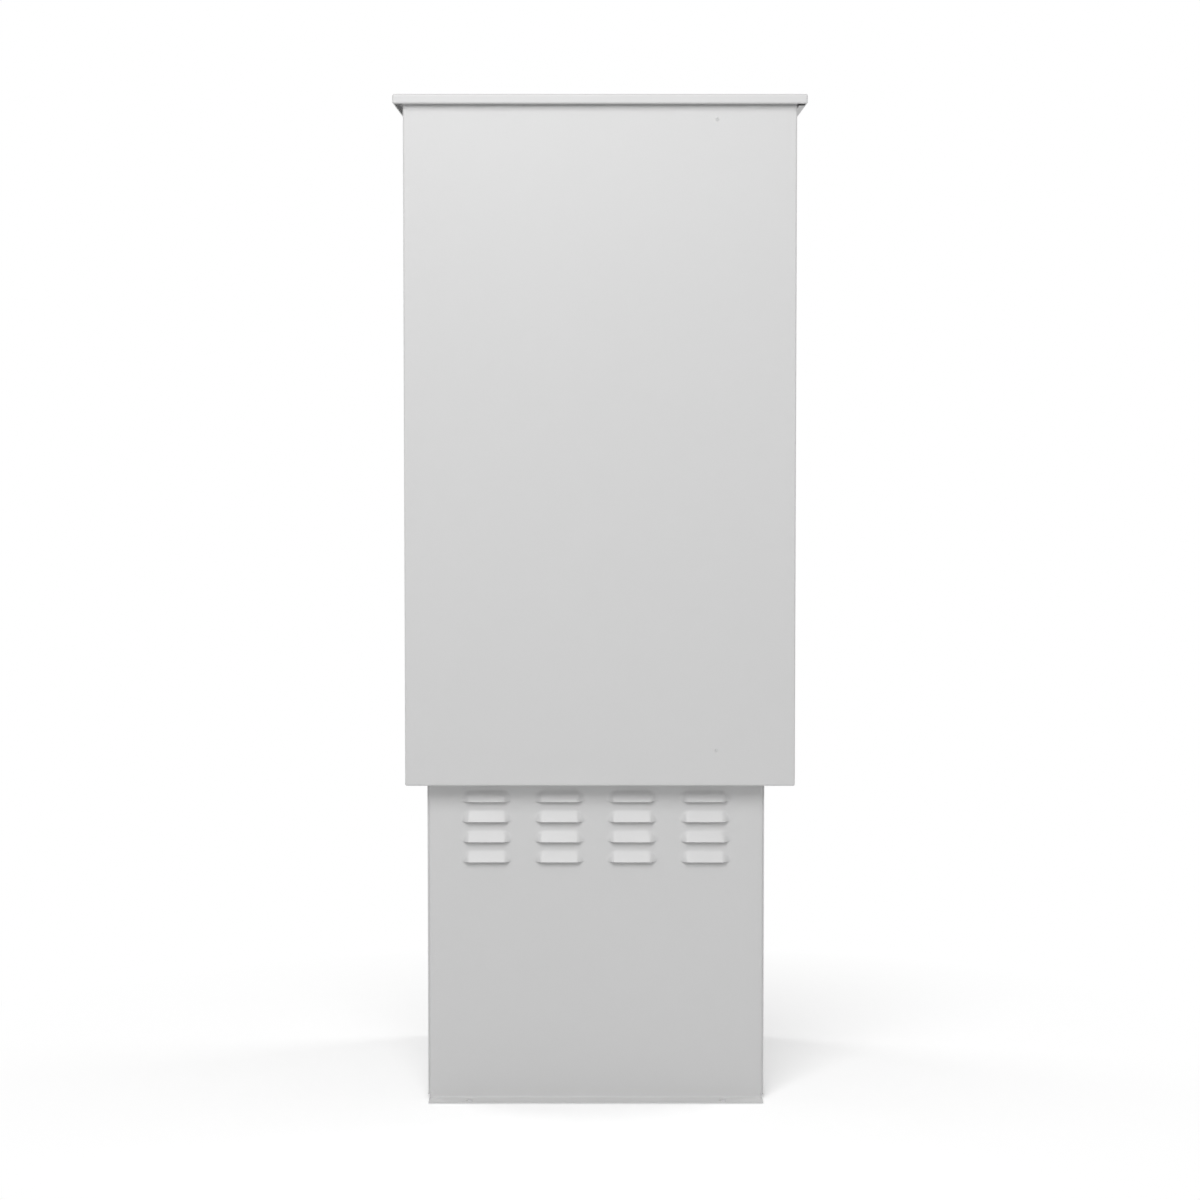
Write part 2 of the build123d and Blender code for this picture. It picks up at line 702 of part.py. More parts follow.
def hinge_block(z, up):
    """Steel block welded inside the door that holds the pin."""
    x = (HINGE_X - HINGE_BLOCK / 2, HINGE_X + HINGE_BLOCK_FRONT)
    ends = sorted((z - up * BODY_SHEET, z - up * (BODY_SHEET + HINGE_BLOCK_HEIGHT)))
    bore = round_bar((HINGE_X, HINGE_Y, ends[0]), (0, 0, 1), HINGE_PIN, HINGE_BLOCK_HEIGHT)
    return block(x, about(HINGE_Y, HINGE_BLOCK), ends) - bore


def hinge_pin(z, up):
    """Pin fixed in the door's block that turns in the frame's bush."""
    inside = BODY_SHEET + HINGE_BLOCK_HEIGHT
    reach = DOOR_GAP + BUSH_LENGTH
    pin = round_bar((HINGE_X, HINGE_Y, z - up * inside), (0, 0, up), HINGE_PIN, inside + reach)
    tip = pin.edges().filter_by(GeomType.CIRCLE).sort_by(Axis.Z)[-1 if up > 0 else 0]
    return chamfer(tip, HINGE_PIN_TIP)


def door_panel():
    """Inset door: a tray with its edges turned back in, pierced for the pins, rods and lock."""
    z = (DOOR_LOW, DOOR_HIGH)
    tray = folded_box((DOOR_BACK, FRONT), spread(DOOR_SIDE), z, BODY_SHEET)
    cuts = [
        block(
            (DOOR_BACK, DOOR_BACK + BODY_SHEET),
            spread(DOOR_SIDE - DOOR_FLANGE),
            (DOOR_LOW + DOOR_FLANGE, DOOR_HIGH - DOOR_FLANGE),
        ),
        round_bar((SKIN_BACK, HANDLE_Y, HANDLE_Z), (1, 0, 0), HANDLE_NECK + 2 * HOLE_FIT, BODY_SHEET),
    ]
    for end, into in ((DOOR_LOW, 1), (DOOR_HIGH, -1)):
        cuts.append(round_bar((HINGE_X, HINGE_Y, end), (0, 0, into), HINGE_PIN, BODY_SHEET))
        slot = sorted((end, end + into * BODY_SHEET))
        cuts.append(
            block(
                about(ROD_X, ROD_THICK + 2 * HOLE_FIT),
                about(HANDLE_Y, ROD_WIDTH + 2 * HOLE_FIT),
                slot,
            )
        )
    cuts += [
        round_bar((SKIN_BACK, y, z), (1, 0, 0), ESCUTCHEON_SCREW + 2 * RUN_FIT, BODY_SHEET)
        for y, z in escutcheon_screw_places()
    ]
    return tray - cuts


def door_stiffener():
    """Hat-section stiffener welded up the inside of the door."""
    half = STIFFENER_WIDTH / 2
    bent = BEND + BODY_SHEET
    top = SKIN_BACK - STIFFENER_DEPTH
    section = folded_strip(
        [
            (SKIN_BACK, -half - STIFFENER_FOOT),
            (SKIN_BACK, -half),
            (top, -half),
            (top, half),
            (SKIN_BACK, half),
            (SKIN_BACK, half + STIFFENER_FOOT),
        ],
        (bent, BEND, BEND, bent),
        BODY_SHEET,
        Side.LEFT,
    )
    low = DOOR_LOW + STIFFENER_END
    return Pos(0, 0, low) * extrude(section, DOOR_HIGH - DOOR_LOW - 2 * STIFFENER_END)


def escutcheon_screw_places():
    """Corners of the escutcheon's screw pattern."""
    return [
        (HANDLE_Y + y, HANDLE_Z + z)
        for y in spread(ESCUTCHEON_SCREW_Y / 2)
        for z in spread(ESCUTCHEON_SCREW_Z / 2)
    ]


def escutcheon():
    """Rounded plate on the door that the handle turns in."""
    x = (FRONT, FRONT + ESCUTCHEON_THICK)
    plate = block(x, about(HANDLE_Y, ESCUTCHEON_WIDTH), about(HANDLE_Z, ESCUTCHEON_HEIGHT))
    plate = fillet(plate.edges().filter_by(Axis.X), ESCUTCHEON_CORNER)
    plate = fillet(plate.faces().sort_by(Axis.X)[-1].edges(), ESCUTCHEON_EDGE)
    centre = (FRONT, HANDLE_Y, HANDLE_Z)
    bore = round_bar(centre, (1, 0, 0), HANDLE_NECK + 2 * RUN_FIT, ESCUTCHEON_THICK)
    screws = [
        round_bar((FRONT, y, z), (1, 0, 0), ESCUTCHEON_SCREW + 2 * RUN_FIT, ESCUTCHEON_THICK)
        for y, z in escutcheon_screw_places()
    ]
    return plate - bore - screws


def escutcheon_screws():
    """Pan-head screws through the escutcheon and the door into the lock case."""
    length = ESCUTCHEON_THICK + BODY_SHEET + ESCUTCHEON_SCREW_BITE
    return group(
        pan_screw((FRONT + ESCUTCHEON_THICK, y, z), (-1, 0, 0), ESCUTCHEON_SCREW, length)
        for y, z in escutcheon_screw_places()
    )


def lock_case():
    """Lock case inside the door: a bored body with a slot at each end for the rods."""
    x = (SKIN_BACK - LOCK_CASE_DEPTH, SKIN_BACK)
    z = about(HANDLE_Z, LOCK_CASE_HEIGHT)
    case = block(x, about(HANDLE_Y, LOCK_CASE_WIDTH), z)
    case = fillet(case.edges().filter_by(Axis.X), BEND + BODY_SHEET)
    bore = round_bar((x[0], HANDLE_Y, HANDLE_Z), (1, 0, 0), SPINDLE + 2 * RUN_FIT, LOCK_CASE_DEPTH)
    slots = [
        block(about(ROD_X, ROD_THICK + 2 * CLEAR), about(HANDLE_Y, ROD_WIDTH + 2 * CLEAR), ends)
        for ends in ((z[0], z[0] + ROD_SLOT_DEPTH), (z[1] - ROD_SLOT_DEPTH, z[1]))
    ]
    screws = [
        round_bar((SKIN_BACK, py, pz), (-1, 0, 0), ESCUTCHEON_SCREW, ESCUTCHEON_SCREW_BITE)
        for py, pz in escutcheon_screw_places()
    ]
    return case - bore - slots - screws


def rod_guide(end, into):
    """Block on the inside of the door that a rod slides through."""
    z = sorted((end + into * GUIDE_FROM_EDGE, end + into * (GUIDE_FROM_EDGE + GUIDE_HEIGHT)))
    body = block((SKIN_BACK - LOCK_CASE_DEPTH, SKIN_BACK), about(HANDLE_Y, GUIDE_WIDTH), z)
    body = fillet(body.edges().filter_by(Axis.Z).group_by(Axis.X)[0], BEND)
    slot = block(about(ROD_X, ROD_THICK + 2 * CLEAR), about(HANDLE_Y, ROD_WIDTH + 2 * CLEAR), z)
    return body - slot


def rod(end, up):
    """Flat locking rod from the lock case to the edge of the door, with a bevelled tip."""
    ends = sorted((HANDLE_Z + up * ROD_FROM_SPINDLE, end - up * ROD_BELOW_EDGE))
    bar = block(about(ROD_X, ROD_THICK), about(HANDLE_Y, ROD_WIDTH), ends)
    tip = bar.edges().filter_by(Axis.X).sort_by(Axis.Z)
    return chamfer(tip[-2:] if up > 0 else tip[:2], ROD_BEVEL)


def handle():
    """Lever handle, shown turned to the open position, with its spindle through the door."""
    low = FRONT + ESCUTCHEON_THICK + CLEAR
    top = FRONT + HANDLE_RISE
    axis = (HANDLE_Y, HANDLE_Z)
    hub = Plane((low, *axis), z_dir=(1, 0, 0)) * Cone(
        HANDLE_HUB / 2 + HANDLE_EDGE, HANDLE_HUB / 2, top - low, align=LOW
    )
    outline = make_hull(
        [
            *(Pos(*axis) * Circle(HANDLE_HUB / 2)).edges(),
            *(Pos(HANDLE_Y - HANDLE_LENGTH, HANDLE_Z) * Circle(HANDLE_TIP / 2)).edges(),
        ]
    )
    lever = Pos(top - HANDLE_THICK, 0, 0) * extrude(Plane.YZ * outline, HANDLE_THICK)
    rims = lever.faces().filter_by(Axis.X)
    lever = fillet(rims.edges(), HANDLE_EDGE)
    neck = round_bar((SKIN_BACK + CLEAR, *axis), (1, 0, 0), HANDLE_NECK, low - SKIN_BACK)
    shoulder = LIP_BACK - CAM_BEHIND_LIP
    spindle = round_bar((shoulder, *axis), (1, 0, 0), SPINDLE, low - shoulder)
    end = round_bar((shoulder, *axis), (-1, 0, 0), SPINDLE_END, CAM_THICK)
    tapped = round_bar((shoulder - CAM_THICK, *axis), (1, 0, 0), CAM_SCREW, CAM_SCREW_LENGTH)
    bore = round_bar((top, *axis), (-1, 0, 0), KEY_PLUG + 2 * RUN_FIT, KEY_PLUG_LENGTH)
    return hub + lever + neck + spindle + end - tapped - bore


def lock_cam():
    """Tongue on the inner end of the spindle, pointing down when the handle is open."""
    outline = make_hull(
        [
            *(Pos(HANDLE_Y, HANDLE_Z) * Circle(CAM_HUB / 2)).edges(),
            *(Pos(HANDLE_Y, HANDLE_Z - CAM_REACH) * Circle(CAM_TIP / 2)).edges(),
        ]
    )
    back = LIP_BACK - CAM_BEHIND_LIP - CAM_THICK
    tongue = Pos(back, 0, 0) * extrude(Plane.YZ * outline, CAM_THICK)
    return tongue - round_bar((back, HANDLE_Y, HANDLE_Z), (1, 0, 0), SPINDLE_END, CAM_THICK)


def cam_screw():
    """Bolt that holds the cam on the spindle."""
    seat = (LIP_BACK - CAM_BEHIND_LIP - CAM_THICK, HANDLE_Y, HANDLE_Z)
    return hex_bolt(seat, (1, 0, 0), CAM_SCREW, CAM_SCREW_LENGTH - CLEAR)


def key_plug():
    """Key barrel in the handle's hub, with its slot upright."""
    top = FRONT + HANDLE_RISE
    plug = round_bar((top, HANDLE_Y, HANDLE_Z), (-1, 0, 0), KEY_PLUG, KEY_PLUG_LENGTH - CLEAR)
    slot = block(
        (top - KEY_SLOT_DEPTH, top),
        about(HANDLE_Y, KEY_SLOT_WIDTH),
        about(HANDLE_Z, KEY_SLOT_HEIGHT),
    )
    return plug - slot


def rack_rail():
    """Left-hand rack rail: a Z-section with square holes in its face."""
    section = folded_strip(
        [
            (RAIL_FRONT, -RACK_OPENING / 2),
            (RAIL_FRONT, -RAIL_OUT),
            (RAIL_FRONT - RAIL_WEB, -RAIL_OUT),
            (RAIL_FRONT - RAIL_WEB, -RAIL_OUT - RAIL_FOOT),
        ],
        (BEND + RAIL_SHEET, BEND),
        RAIL_SHEET,
        Side.RIGHT,
    )
    rail = Pos(0, 0, RAIL_MIDDLE - RAIL_LENGTH / 2) * extrude(section, RAIL_LENGTH)
    lowest = RAIL_MIDDLE - RACK_UNITS * RACK_UNIT / 2
    x = (RAIL_FRONT - RAIL_SHEET, RAIL_FRONT)
    y = about(-RACK_HOLE_SPAN / 2, RACK_HOLE)
    holes = [
        block(x, y, about(lowest + (unit + share) * RACK_UNIT, RACK_HOLE))
        for unit in range(RACK_UNITS)
        for share in RACK_HOLE_SHARES
    ]
    foot = RAIL_FRONT - RAIL_WEB
    bolts = [
        round_bar((foot, -RAIL_BOLT_Y, z), (-1, 0, 0), RAIL_BOLT + 2 * HOLE_FIT, RAIL_SHEET)
        for z in rail_bolt_levels()
    ]
    return rail - holes - bolts


def rail_bolt_levels():
    """Two bolts at each bracket."""
    return [z for level in RIVET_LEVELS for z in about(level, RAIL_BOLT_SPACING)]


def rail_bracket(level):
    """Left-hand angle bracket: a pad on the side wall and an arm behind the rail's foot."""
    wall = BODY_SHEET - SIDE
    section = folded_strip(
        [
            (BRACKET_BACK + BRACKET_LENGTH, wall),
            (BRACKET_BACK, wall),
            (BRACKET_BACK, -RAIL_OUT - RAIL_SHEET),
        ],
        (BEND + RAIL_SHEET,),
        RAIL_SHEET,
        Side.RIGHT,
    )
    bracket = Pos(0, 0, level - BRACKET_HEIGHT / 2) * extrude(section, BRACKET_HEIGHT)
    holes = [round_bar((RIVET_X, wall, level), (0, 1, 0), RIVET_SHANK, RAIL_SHEET)]
    holes += [
        round_bar((BRACKET_BACK, -RAIL_BOLT_Y, z), (1, 0, 0), RAIL_BOLT + 2 * HOLE_FIT, RAIL_SHEET)
        for z in about(level, RAIL_BOLT_SPACING)
    ]
    return bracket - holes


def bracket_rivets():
    """Rivets that show as low domes on the side walls, one at each bracket."""
    grip = BODY_SHEET + RAIL_SHEET
    pieces = []
    for out in (-1, 1):
        for level in RIVET_LEVELS:
            skin = (RIVET_X, out * SIDE, level)
            back = (RIVET_X, out * (SIDE - grip), level)
            shank = round_bar(skin, (0, -out, 0), RIVET_SHANK, grip)
            dome = Plane(skin, z_dir=(0, out, 0)) * Cone(
                RIVET_HEAD / 2, RIVET_CROWN / 2, RIVET_DOME, align=LOW
            )
            tail = round_bar(back, (0, -out, 0), RIVET_HEAD, RIVET_TAIL)
            pieces.append(shank + dome + tail)
    return group(pieces)


def rail_bolts():
    """Bolts through the rail feet and the bracket arms."""
    length = 2 * RAIL_SHEET + BOLT_PAST * RAIL_BOLT
    return group(
        hex_bolt((RAIL_FRONT - RAIL_WEB, y, z), (-1, 0, 0), RAIL_BOLT, length)
        for y in spread(RAIL_BOLT_Y)
        for z in rail_bolt_levels()
    )


def rail_nuts():
    """Nuts behind the bracket arms."""
    return group(
        hex_nut((BRACKET_BACK, y, z), (-1, 0, 0), RAIL_BOLT)
        for y in spread(RAIL_BOLT_Y)
        for z in rail_bolt_levels()
    )


def earth_screw_places():
    """Across the earth bar: a fixing at each post and a row of terminals between them."""
    first = -EARTH_TERMINAL_PITCH * (EARTH_TERMINALS - 1) / 2
    return [*spread(EARTH_POST_SPACING / 2)] + [
        first + step * EARTH_TERMINAL_PITCH for step in range(EARTH_TERMINALS)
    ]


def earth_bar():
    """Earth bar with a tapped hole for each screw."""
    x = (EARTH_BACK, EARTH_BACK + EARTH_THICK)
    bar = block(x, spread(EARTH_LENGTH / 2), about(EARTH_Z, EARTH_HEIGHT))
    holes = [
        round_bar((EARTH_BACK, y, EARTH_Z), (1, 0, 0), EARTH_SCREW + 2 * RUN_FIT, EARTH_THICK)
        for y in earth_screw_places()
    ]
    return bar - holes


def earth_posts():
    """Insulating posts that hold the earth bar off the rear wall."""
    return group(
        hexagon((EARTH_BACK, y, EARTH_Z), (-1, 0, 0), EARTH_POST, EARTH_STANDOFF)
        - round_bar((EARTH_BACK, y, EARTH_Z), (-1, 0, 0), EARTH_SCREW, EARTH_POST_TAP)
        for y in spread(EARTH_POST_SPACING / 2)
    )


def earth_screws():
    """Screws of the earth bar: fixings and terminals."""
    return group(
        hex_bolt((EARTH_BACK + EARTH_THICK, y, EARTH_Z), (-1, 0, 0), EARTH_SCREW, EARTH_SCREW_LENGTH)
        for y in earth_screw_places()
    )


def all_pieces():
    """Every node of the cabinet by name."""
    left_wall = plinth_wall()
    left_rail = rack_rail()
    pieces = {
        "plinth_left_wall": left_wall,
        "plinth_right_wall": mirror(left_wall, about=Plane.XZ),
        "plinth_front_cover": plinth_cover(1),
        "plinth_rear_cover": plinth_cover(-1),
        "plinth_cover_screws": plinth_cover_screws(),
        "plinth_bolts": plinth_bolts(),
        "plinth_nuts": plinth_nuts(),
        "body_wrap": body_wrap(),
        "floor_panel": floor_panel(),
        "gland_plate": gland_plate(),
        "gland_gasket": gland_gasket(),
        "gland_screws": gland_screws(),
        "cable_grommets": cable_grommets(),
        "door_frame": door_frame(),
        "door_seal": door_seal(),
        "roof": roof(),
        "roof_studs": roof_studs(),
        "roof_nuts": roof_nuts(),
        "roof_seal": roof_seal(),
        "rail_left": left_rail,
        "rail_right": mirror(left_rail, about=Plane.XZ),
        "bracket_rivets": bracket_rivets(),
        "rail_bolts": rail_bolts(),
        "rail_nuts": rail_nuts(),
        "earth_bar": earth_bar(),
        "earth_posts": earth_posts(),
        "earth_screws": earth_screws(),
        "hinge_bush_lower": hinge_bush(OPEN_LOW, -1),
        "hinge_bush_upper": hinge_bush(OPEN_HIGH, 1),
        "door_panel": door_panel(),
        "door_stiffener": door_stiffener(),
        "hinge_block_lower": hinge_block(DOOR_LOW, -1),
        "hinge_block_upper": hinge_block(DOOR_HIGH, 1),
        "hinge_pin_lower": hinge_pin(DOOR_LOW, -1),
        "hinge_pin_upper": hinge_pin(DOOR_HIGH, 1),
        "lock_case": lock_case(),
        "rod_guide_lower": rod_guide(DOOR_LOW, 1),
        "rod_guide_upper": rod_guide(DOOR_HIGH, -1),
        "escutcheon": escutcheon(),
        "escutcheon_screws": escutcheon_screws(),
        "handle": handle(),
        "lock_cam": lock_cam(),
        "cam_screw": cam_screw(),
        "key_plug": key_plug(),
        "rod_lower": rod(DOOR_LOW, -1),
        "rod_upper": rod(DOOR_HIGH, 1),
    }
    for place, level in zip(("lower", "upper"), RIVET_LEVELS):
        bracket = rail_bracket(level)
        pieces[f"rail_bracket_left_{place}"] = bracket
        pieces[f"rail_bracket_right_{place}"] = mirror(bracket, about=Plane.XZ)
    return pieces


os.makedirs("parts", exist_ok=True)
for name, piece in all_pieces().items():
    export_step(piece, f"parts/{name}.step")
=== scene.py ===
import math

import bmesh
import bpy
from bpy.props import FloatProperty, FloatVectorProperty, IntProperty, PointerProperty
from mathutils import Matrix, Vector


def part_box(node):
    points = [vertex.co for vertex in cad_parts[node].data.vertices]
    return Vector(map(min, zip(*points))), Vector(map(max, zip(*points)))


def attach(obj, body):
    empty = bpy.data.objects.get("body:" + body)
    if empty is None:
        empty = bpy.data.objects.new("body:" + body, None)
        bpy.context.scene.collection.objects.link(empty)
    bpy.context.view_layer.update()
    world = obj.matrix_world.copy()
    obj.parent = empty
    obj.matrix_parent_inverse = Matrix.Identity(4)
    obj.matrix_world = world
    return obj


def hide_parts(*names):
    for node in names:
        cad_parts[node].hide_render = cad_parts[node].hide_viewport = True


bl_info = {
    "name": "Network Cabinet",
    "version": (1, 0, 0),
    "blender": (4, 5, 0),
    "location": "3D View > Sidebar > Cabinet",
    "description": "Dresses the packed network cabinet with pressed, moulded and painted pieces",
    "category": "Object",
}

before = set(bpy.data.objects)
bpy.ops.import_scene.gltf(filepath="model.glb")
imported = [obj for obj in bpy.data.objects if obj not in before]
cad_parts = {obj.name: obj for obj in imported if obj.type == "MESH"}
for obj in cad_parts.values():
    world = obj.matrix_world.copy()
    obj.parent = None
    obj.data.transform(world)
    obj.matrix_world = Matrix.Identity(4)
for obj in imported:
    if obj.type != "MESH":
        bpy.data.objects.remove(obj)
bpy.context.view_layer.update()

# CAD nodes that keep their shape, by finish
PAINTED = (
    "plinth_front_cover", "plinth_rear_cover", "body_wrap", "door_frame", "roof", "door_panel",
    "door_stiffener",
)
GALVANISED = (
    "floor_panel", "gland_plate", "rail_left", "rail_right", "rail_bracket_left_lower",
    "rail_bracket_left_upper", "rail_bracket_right_lower", "rail_bracket_right_upper",
)
ZINC_PLATED = (
    "plinth_bolts", "plinth_nuts", "roof_studs", "roof_nuts", "rail_bolts", "rail_nuts", "earth_screws",
    "cam_screw",
)
BRIGHT_STEEL = (
    "hinge_block_lower", "hinge_block_upper", "hinge_pin_lower", "hinge_pin_upper", "lock_cam", "rod_lower",
    "rod_upper",
)
NYLON = ("hinge_bush_lower", "hinge_bush_upper", "rod_guide_lower", "rod_guide_upper")
BLACK_CASTINGS = ("handle", "escutcheon")

# Metals with a grain: nodes, name, setting for the colour, roughness, scale of the grain along each axis
STEELS = (
    (ZINC_PLATED, "zinc plated steel", "zinc", 0.36, (1.0, 1.0, 1.0)),
    (BRIGHT_STEEL, "bright steel", "bright_steel", 0.28, (1.0, 1.0, 0.05)),
    (("key_plug",), "key barrel chrome", "chrome", 0.14, (0.1, 1.0, 1.0)),
    (("earth_bar",), "earth brass", "brass", 0.3, (1.0, 0.05, 1.0)),
)
# Castings and mouldings: nodes, name, setting for the colour, roughness, scale and depth of the grain
MOULDINGS = (
    (BLACK_CASTINGS, "black casting", "casting", 0.42, 900.0, 0.0001),
    (NYLON, "black nylon", "nylon", 0.5, 700.0, 0.00006),
    (("lock_case",), "die cast zinc", "die_cast", 0.45, 500.0, 0.0001),
    (("earth_posts",), "red resin", "resin", 0.4, 400.0, 0.00006),
)

# How closely shapes are compared, in metres, radians between faces and the rise of a face's normal
TOUCH = 1e-5  # lengths this close agree
WELD = 1e-6  # points this close become one
SHARP = 1.0  # edges sharper than this are rounded
LEVEL = 0.99  # a face whose normal rises more than this is flat

# How finely curves are cut
BEND_STEPS = 4
CORNER_STEPS = 6
CROWN_STEPS = 5
DRILL_SIDES = 40
GROMMET_SIDES = 64
RIVET_SIDES = 32

# Screw heads
SCREW_SIDES = 24
HEAD_ROUND = 0.7  # rounding of a domed head, as a share of its height
DRIVE_LOBES = 6
DRIVE_WAIST = 0.74  # the drive between its lobes, as a share of its radius
DRIVE_REACH = 0.45  # radius and depth of the drive, as shares of the thread

# Louvres: faces in the tile that one is pulled from, and how the bends are eased
TILE_COLUMNS, TILE_ROWS = 72, 24
SLIT_SLACK = 0.0005
EASE_ABOVE_LIP, EASE_PAST_TOP = 0.001, 0.003
EASE_ROUNDS = 9

# Stage: the floor, and each soft lamp's name, place, aim, width and height, and setting for its power
WHITE = (1.0, 1.0, 1.0, 1.0)
FLOOR_SIZE = 60.0
FLOOR_GAP = 0.0005
LAMPS = (
    ("softbox", (-0.4, -3.2, 2.95), (0.0, -0.3, 1.1), (1.6, 1.9), "key"),
    ("rear_lamp_left", (-3.6, 2.4, 3.2), (0.0, 0.0, 0.9), (2.0, 2.0), "fill"),
    ("rear_lamp_right", (3.6, 1.6, 3.2), (0.0, 0.0, 0.9), (2.0, 2.0), "fill"),
)


def tint(name, description, default):
    """A setting for a colour."""
    return FloatVectorProperty(
        name=name, description=description, subtype="COLOR", size=3, min=0, max=1, default=default,
    )


def distance(name, description, default):
    """A setting in metres."""
    return FloatProperty(
        name=name, description=description, subtype="DISTANCE", unit="LENGTH", min=0, default=default,
    )


def share(name, description, default):
    """A setting from 0 to 1."""
    return FloatProperty(name=name, description=description, subtype="FACTOR", min=0, max=1, default=default)


def amount(name, description, default, unit="NONE"):
    """A setting that isn't negative."""
    return FloatProperty(name=name, description=description, unit=unit, min=0, default=default)


class CabinetFinish(bpy.types.PropertyGroup):
    """Colours of the finishes"""

    coat: tint("Coat", "Colour of the powder coat", (0.64, 0.64, 0.64))
    coat_roughness: share("Coat Roughness", "How matt the powder coat is", 0.4)
    dust: tint("Dust", "Colour of the dust where the coat lies flat", (0.50, 0.49, 0.47))
    dust_cover: share("Dust Cover", "How much of the flat coat the dust hides", 0.1)
    zinc: tint("Zinc", "Colour of the galvanised and plated steel", (0.56, 0.57, 0.58))
    bright_steel: tint("Bright Steel", "Colour of the lock and hinge steel", (0.62, 0.62, 0.63))
    casting: tint("Black Casting", "Colour of the handle and its plate", (0.022, 0.022, 0.024))
    nylon: tint("Nylon", "Colour of the bushes and rod guides", (0.035, 0.035, 0.036))
    die_cast: tint("Die Cast", "Colour of the lock case", (0.42, 0.42, 0.43))
    chrome: tint("Chrome", "Colour of the key barrel", (0.7, 0.7, 0.71))
    brass: tint("Brass", "Colour of the earth bar", (0.72, 0.52, 0.24))
    resin: tint("Resin", "Colour of the posts under the earth bar", (0.34, 0.03, 0.025))
    rubber: tint("Rubber", "Colour of the grommets", (0.03, 0.03, 0.031))
    foam: tint("Foam", "Colour of the foam seals", (0.045, 0.045, 0.047))


class PlinthSizes(bpy.types.PropertyGroup):
    """Sizes of the two plinth walls"""

    sheet: distance("Sheet", "Thickness of the plinth walls", 0.002)
    bend: distance("Bend", "Inside radius of each fold", 0.0015)
    top_flange: distance("Top Flange", "Width of the flange under the body", 0.035)
    end_return: distance("End Return", "Width of the fold at each end of a wall", 0.030)
    base_flange: distance("Base Flange", "Width of the foot that stands on the ground", 0.041)
    anchor_hole: distance("Anchor Hole", "Diameter of the anchor holes", 0.013)
    anchor_spacing: distance("Anchor Spacing", "Between the anchor holes of one wall", 0.426)
    anchor_from_wall: distance("Anchor From Wall", "From the wall to the anchor holes", 0.024)
    bolt_hole: distance("Bolt Hole", "Diameter of the holes for the bolts to the body", 0.011)
    screw_hole: distance("Screw Hole", "Diameter of the holes for the cover screws", 0.0051)
    drill_reach: distance("Drill Reach", "Length of the drills that cut the holes", 0.02)
    louvre_columns: IntProperty(name="Louvre Columns", description="Louvres in one row", min=1, default=4)
    louvre_rows: IntProperty(name="Louvre Rows", description="Rows of louvres", min=1, default=4)
    column_pitch: distance("Column Pitch", "Between louvres in one row", 0.1225)
    row_pitch: distance("Row Pitch", "Between rows of louvres", 0.034)
    louvre_length: distance("Louvre Length", "Length of a louvre's lip", 0.081)
    louvre_depth: distance("Louvre Depth", "How far a lip stands out", 0.009)
    louvre_rise: distance("Louvre Rise", "From a lip to the top of its louvre", 0.019)
    louvre_corner: distance("Louvre Corner", "Radius of a louvre's upper corners", 0.0185)
    top_lip: distance("Top Lip", "Highest lip below the top of the plinth", 0.0305)


class FittingSizes(bpy.types.PropertyGroup):
    """Sizes of the seals, grommets, rivets and screws"""

    door_seal_width: distance("Door Seal Width", "Width of the foam round the door", 0.010)
    door_seal_corner: distance("Door Seal Corner", "Radius of the foam at the corners", 0.014)
    door_seal_crown: distance("Door Seal Crown", "Radius of the foam's rounded top", 0.0038)
    roof_seal_width: distance("Roof Seal Width", "Width of the foam under the roof", 0.030)
    gasket_edge: distance("Gasket Edge", "Rounding of the flat gaskets", 0.0006)
    gland_lap: distance("Gland Lap", "Width of the gasket under the gland plate", 0.018)
    gland_corner: distance("Gland Corner", "Corner radius of the gland plate", 0.006)
    gland_sheet: distance("Gland Sheet", "Thickness of the gland plate", 0.002)
    grommet_bore: distance("Grommet Bore", "Diameter of a grommet in its hole", 0.0539)
    grommet_lip: distance("Grommet Lip", "Height of a grommet's lip", 0.004)
    grommet_nose: distance("Grommet Nose", "Height of a grommet above its plate", 0.022)
    grommet_root: distance("Grommet Root", "Diameter of a nose where it starts", 0.038)
    grommet_tip: distance("Grommet Tip", "Diameter of a nose at its top", 0.019)
    grommet_wall: distance("Grommet Wall", "Thickness of a grommet's rubber", 0.0025)
    grommet_edge: distance("Grommet Edge", "Bevel of a grommet's edges", 0.0004)
    grommet_steps: IntProperty(name="Grommet Steps", description="Cutting steps on a nose", min=2, default=4)
    rivet_head: distance("Rivet Head", "Diameter of a rivet's dome", 0.007)
    rivet_shank: distance("Rivet Shank", "Diameter of a rivet", 0.004)
    rivet_dome: distance("Rivet Dome", "Height of a rivet's dome", 0.001)
    rivet_hole: distance("Rivet Hole", "Diameter of the hole left in a dome", 0.0028)
    rivet_tail: distance("Rivet Tail", "Length of a rivet's set end", 0.002)
    cover_screw: distance("Cover Screw", "Thread of the plinth cover screws", 0.005)
    cover_head: distance("Cover Head", "Depth of a cover screw's head", 0.002)
    gland_screw: distance("Gland Screw", "Thread of the gland plate screws", 0.005)
    plate_screw: distance("Plate Screw", "Thread of the handle plate screws", 0.004)
    pan_height: share("Pan Height", "Height of a pan head as a share of its thread", 0.6)


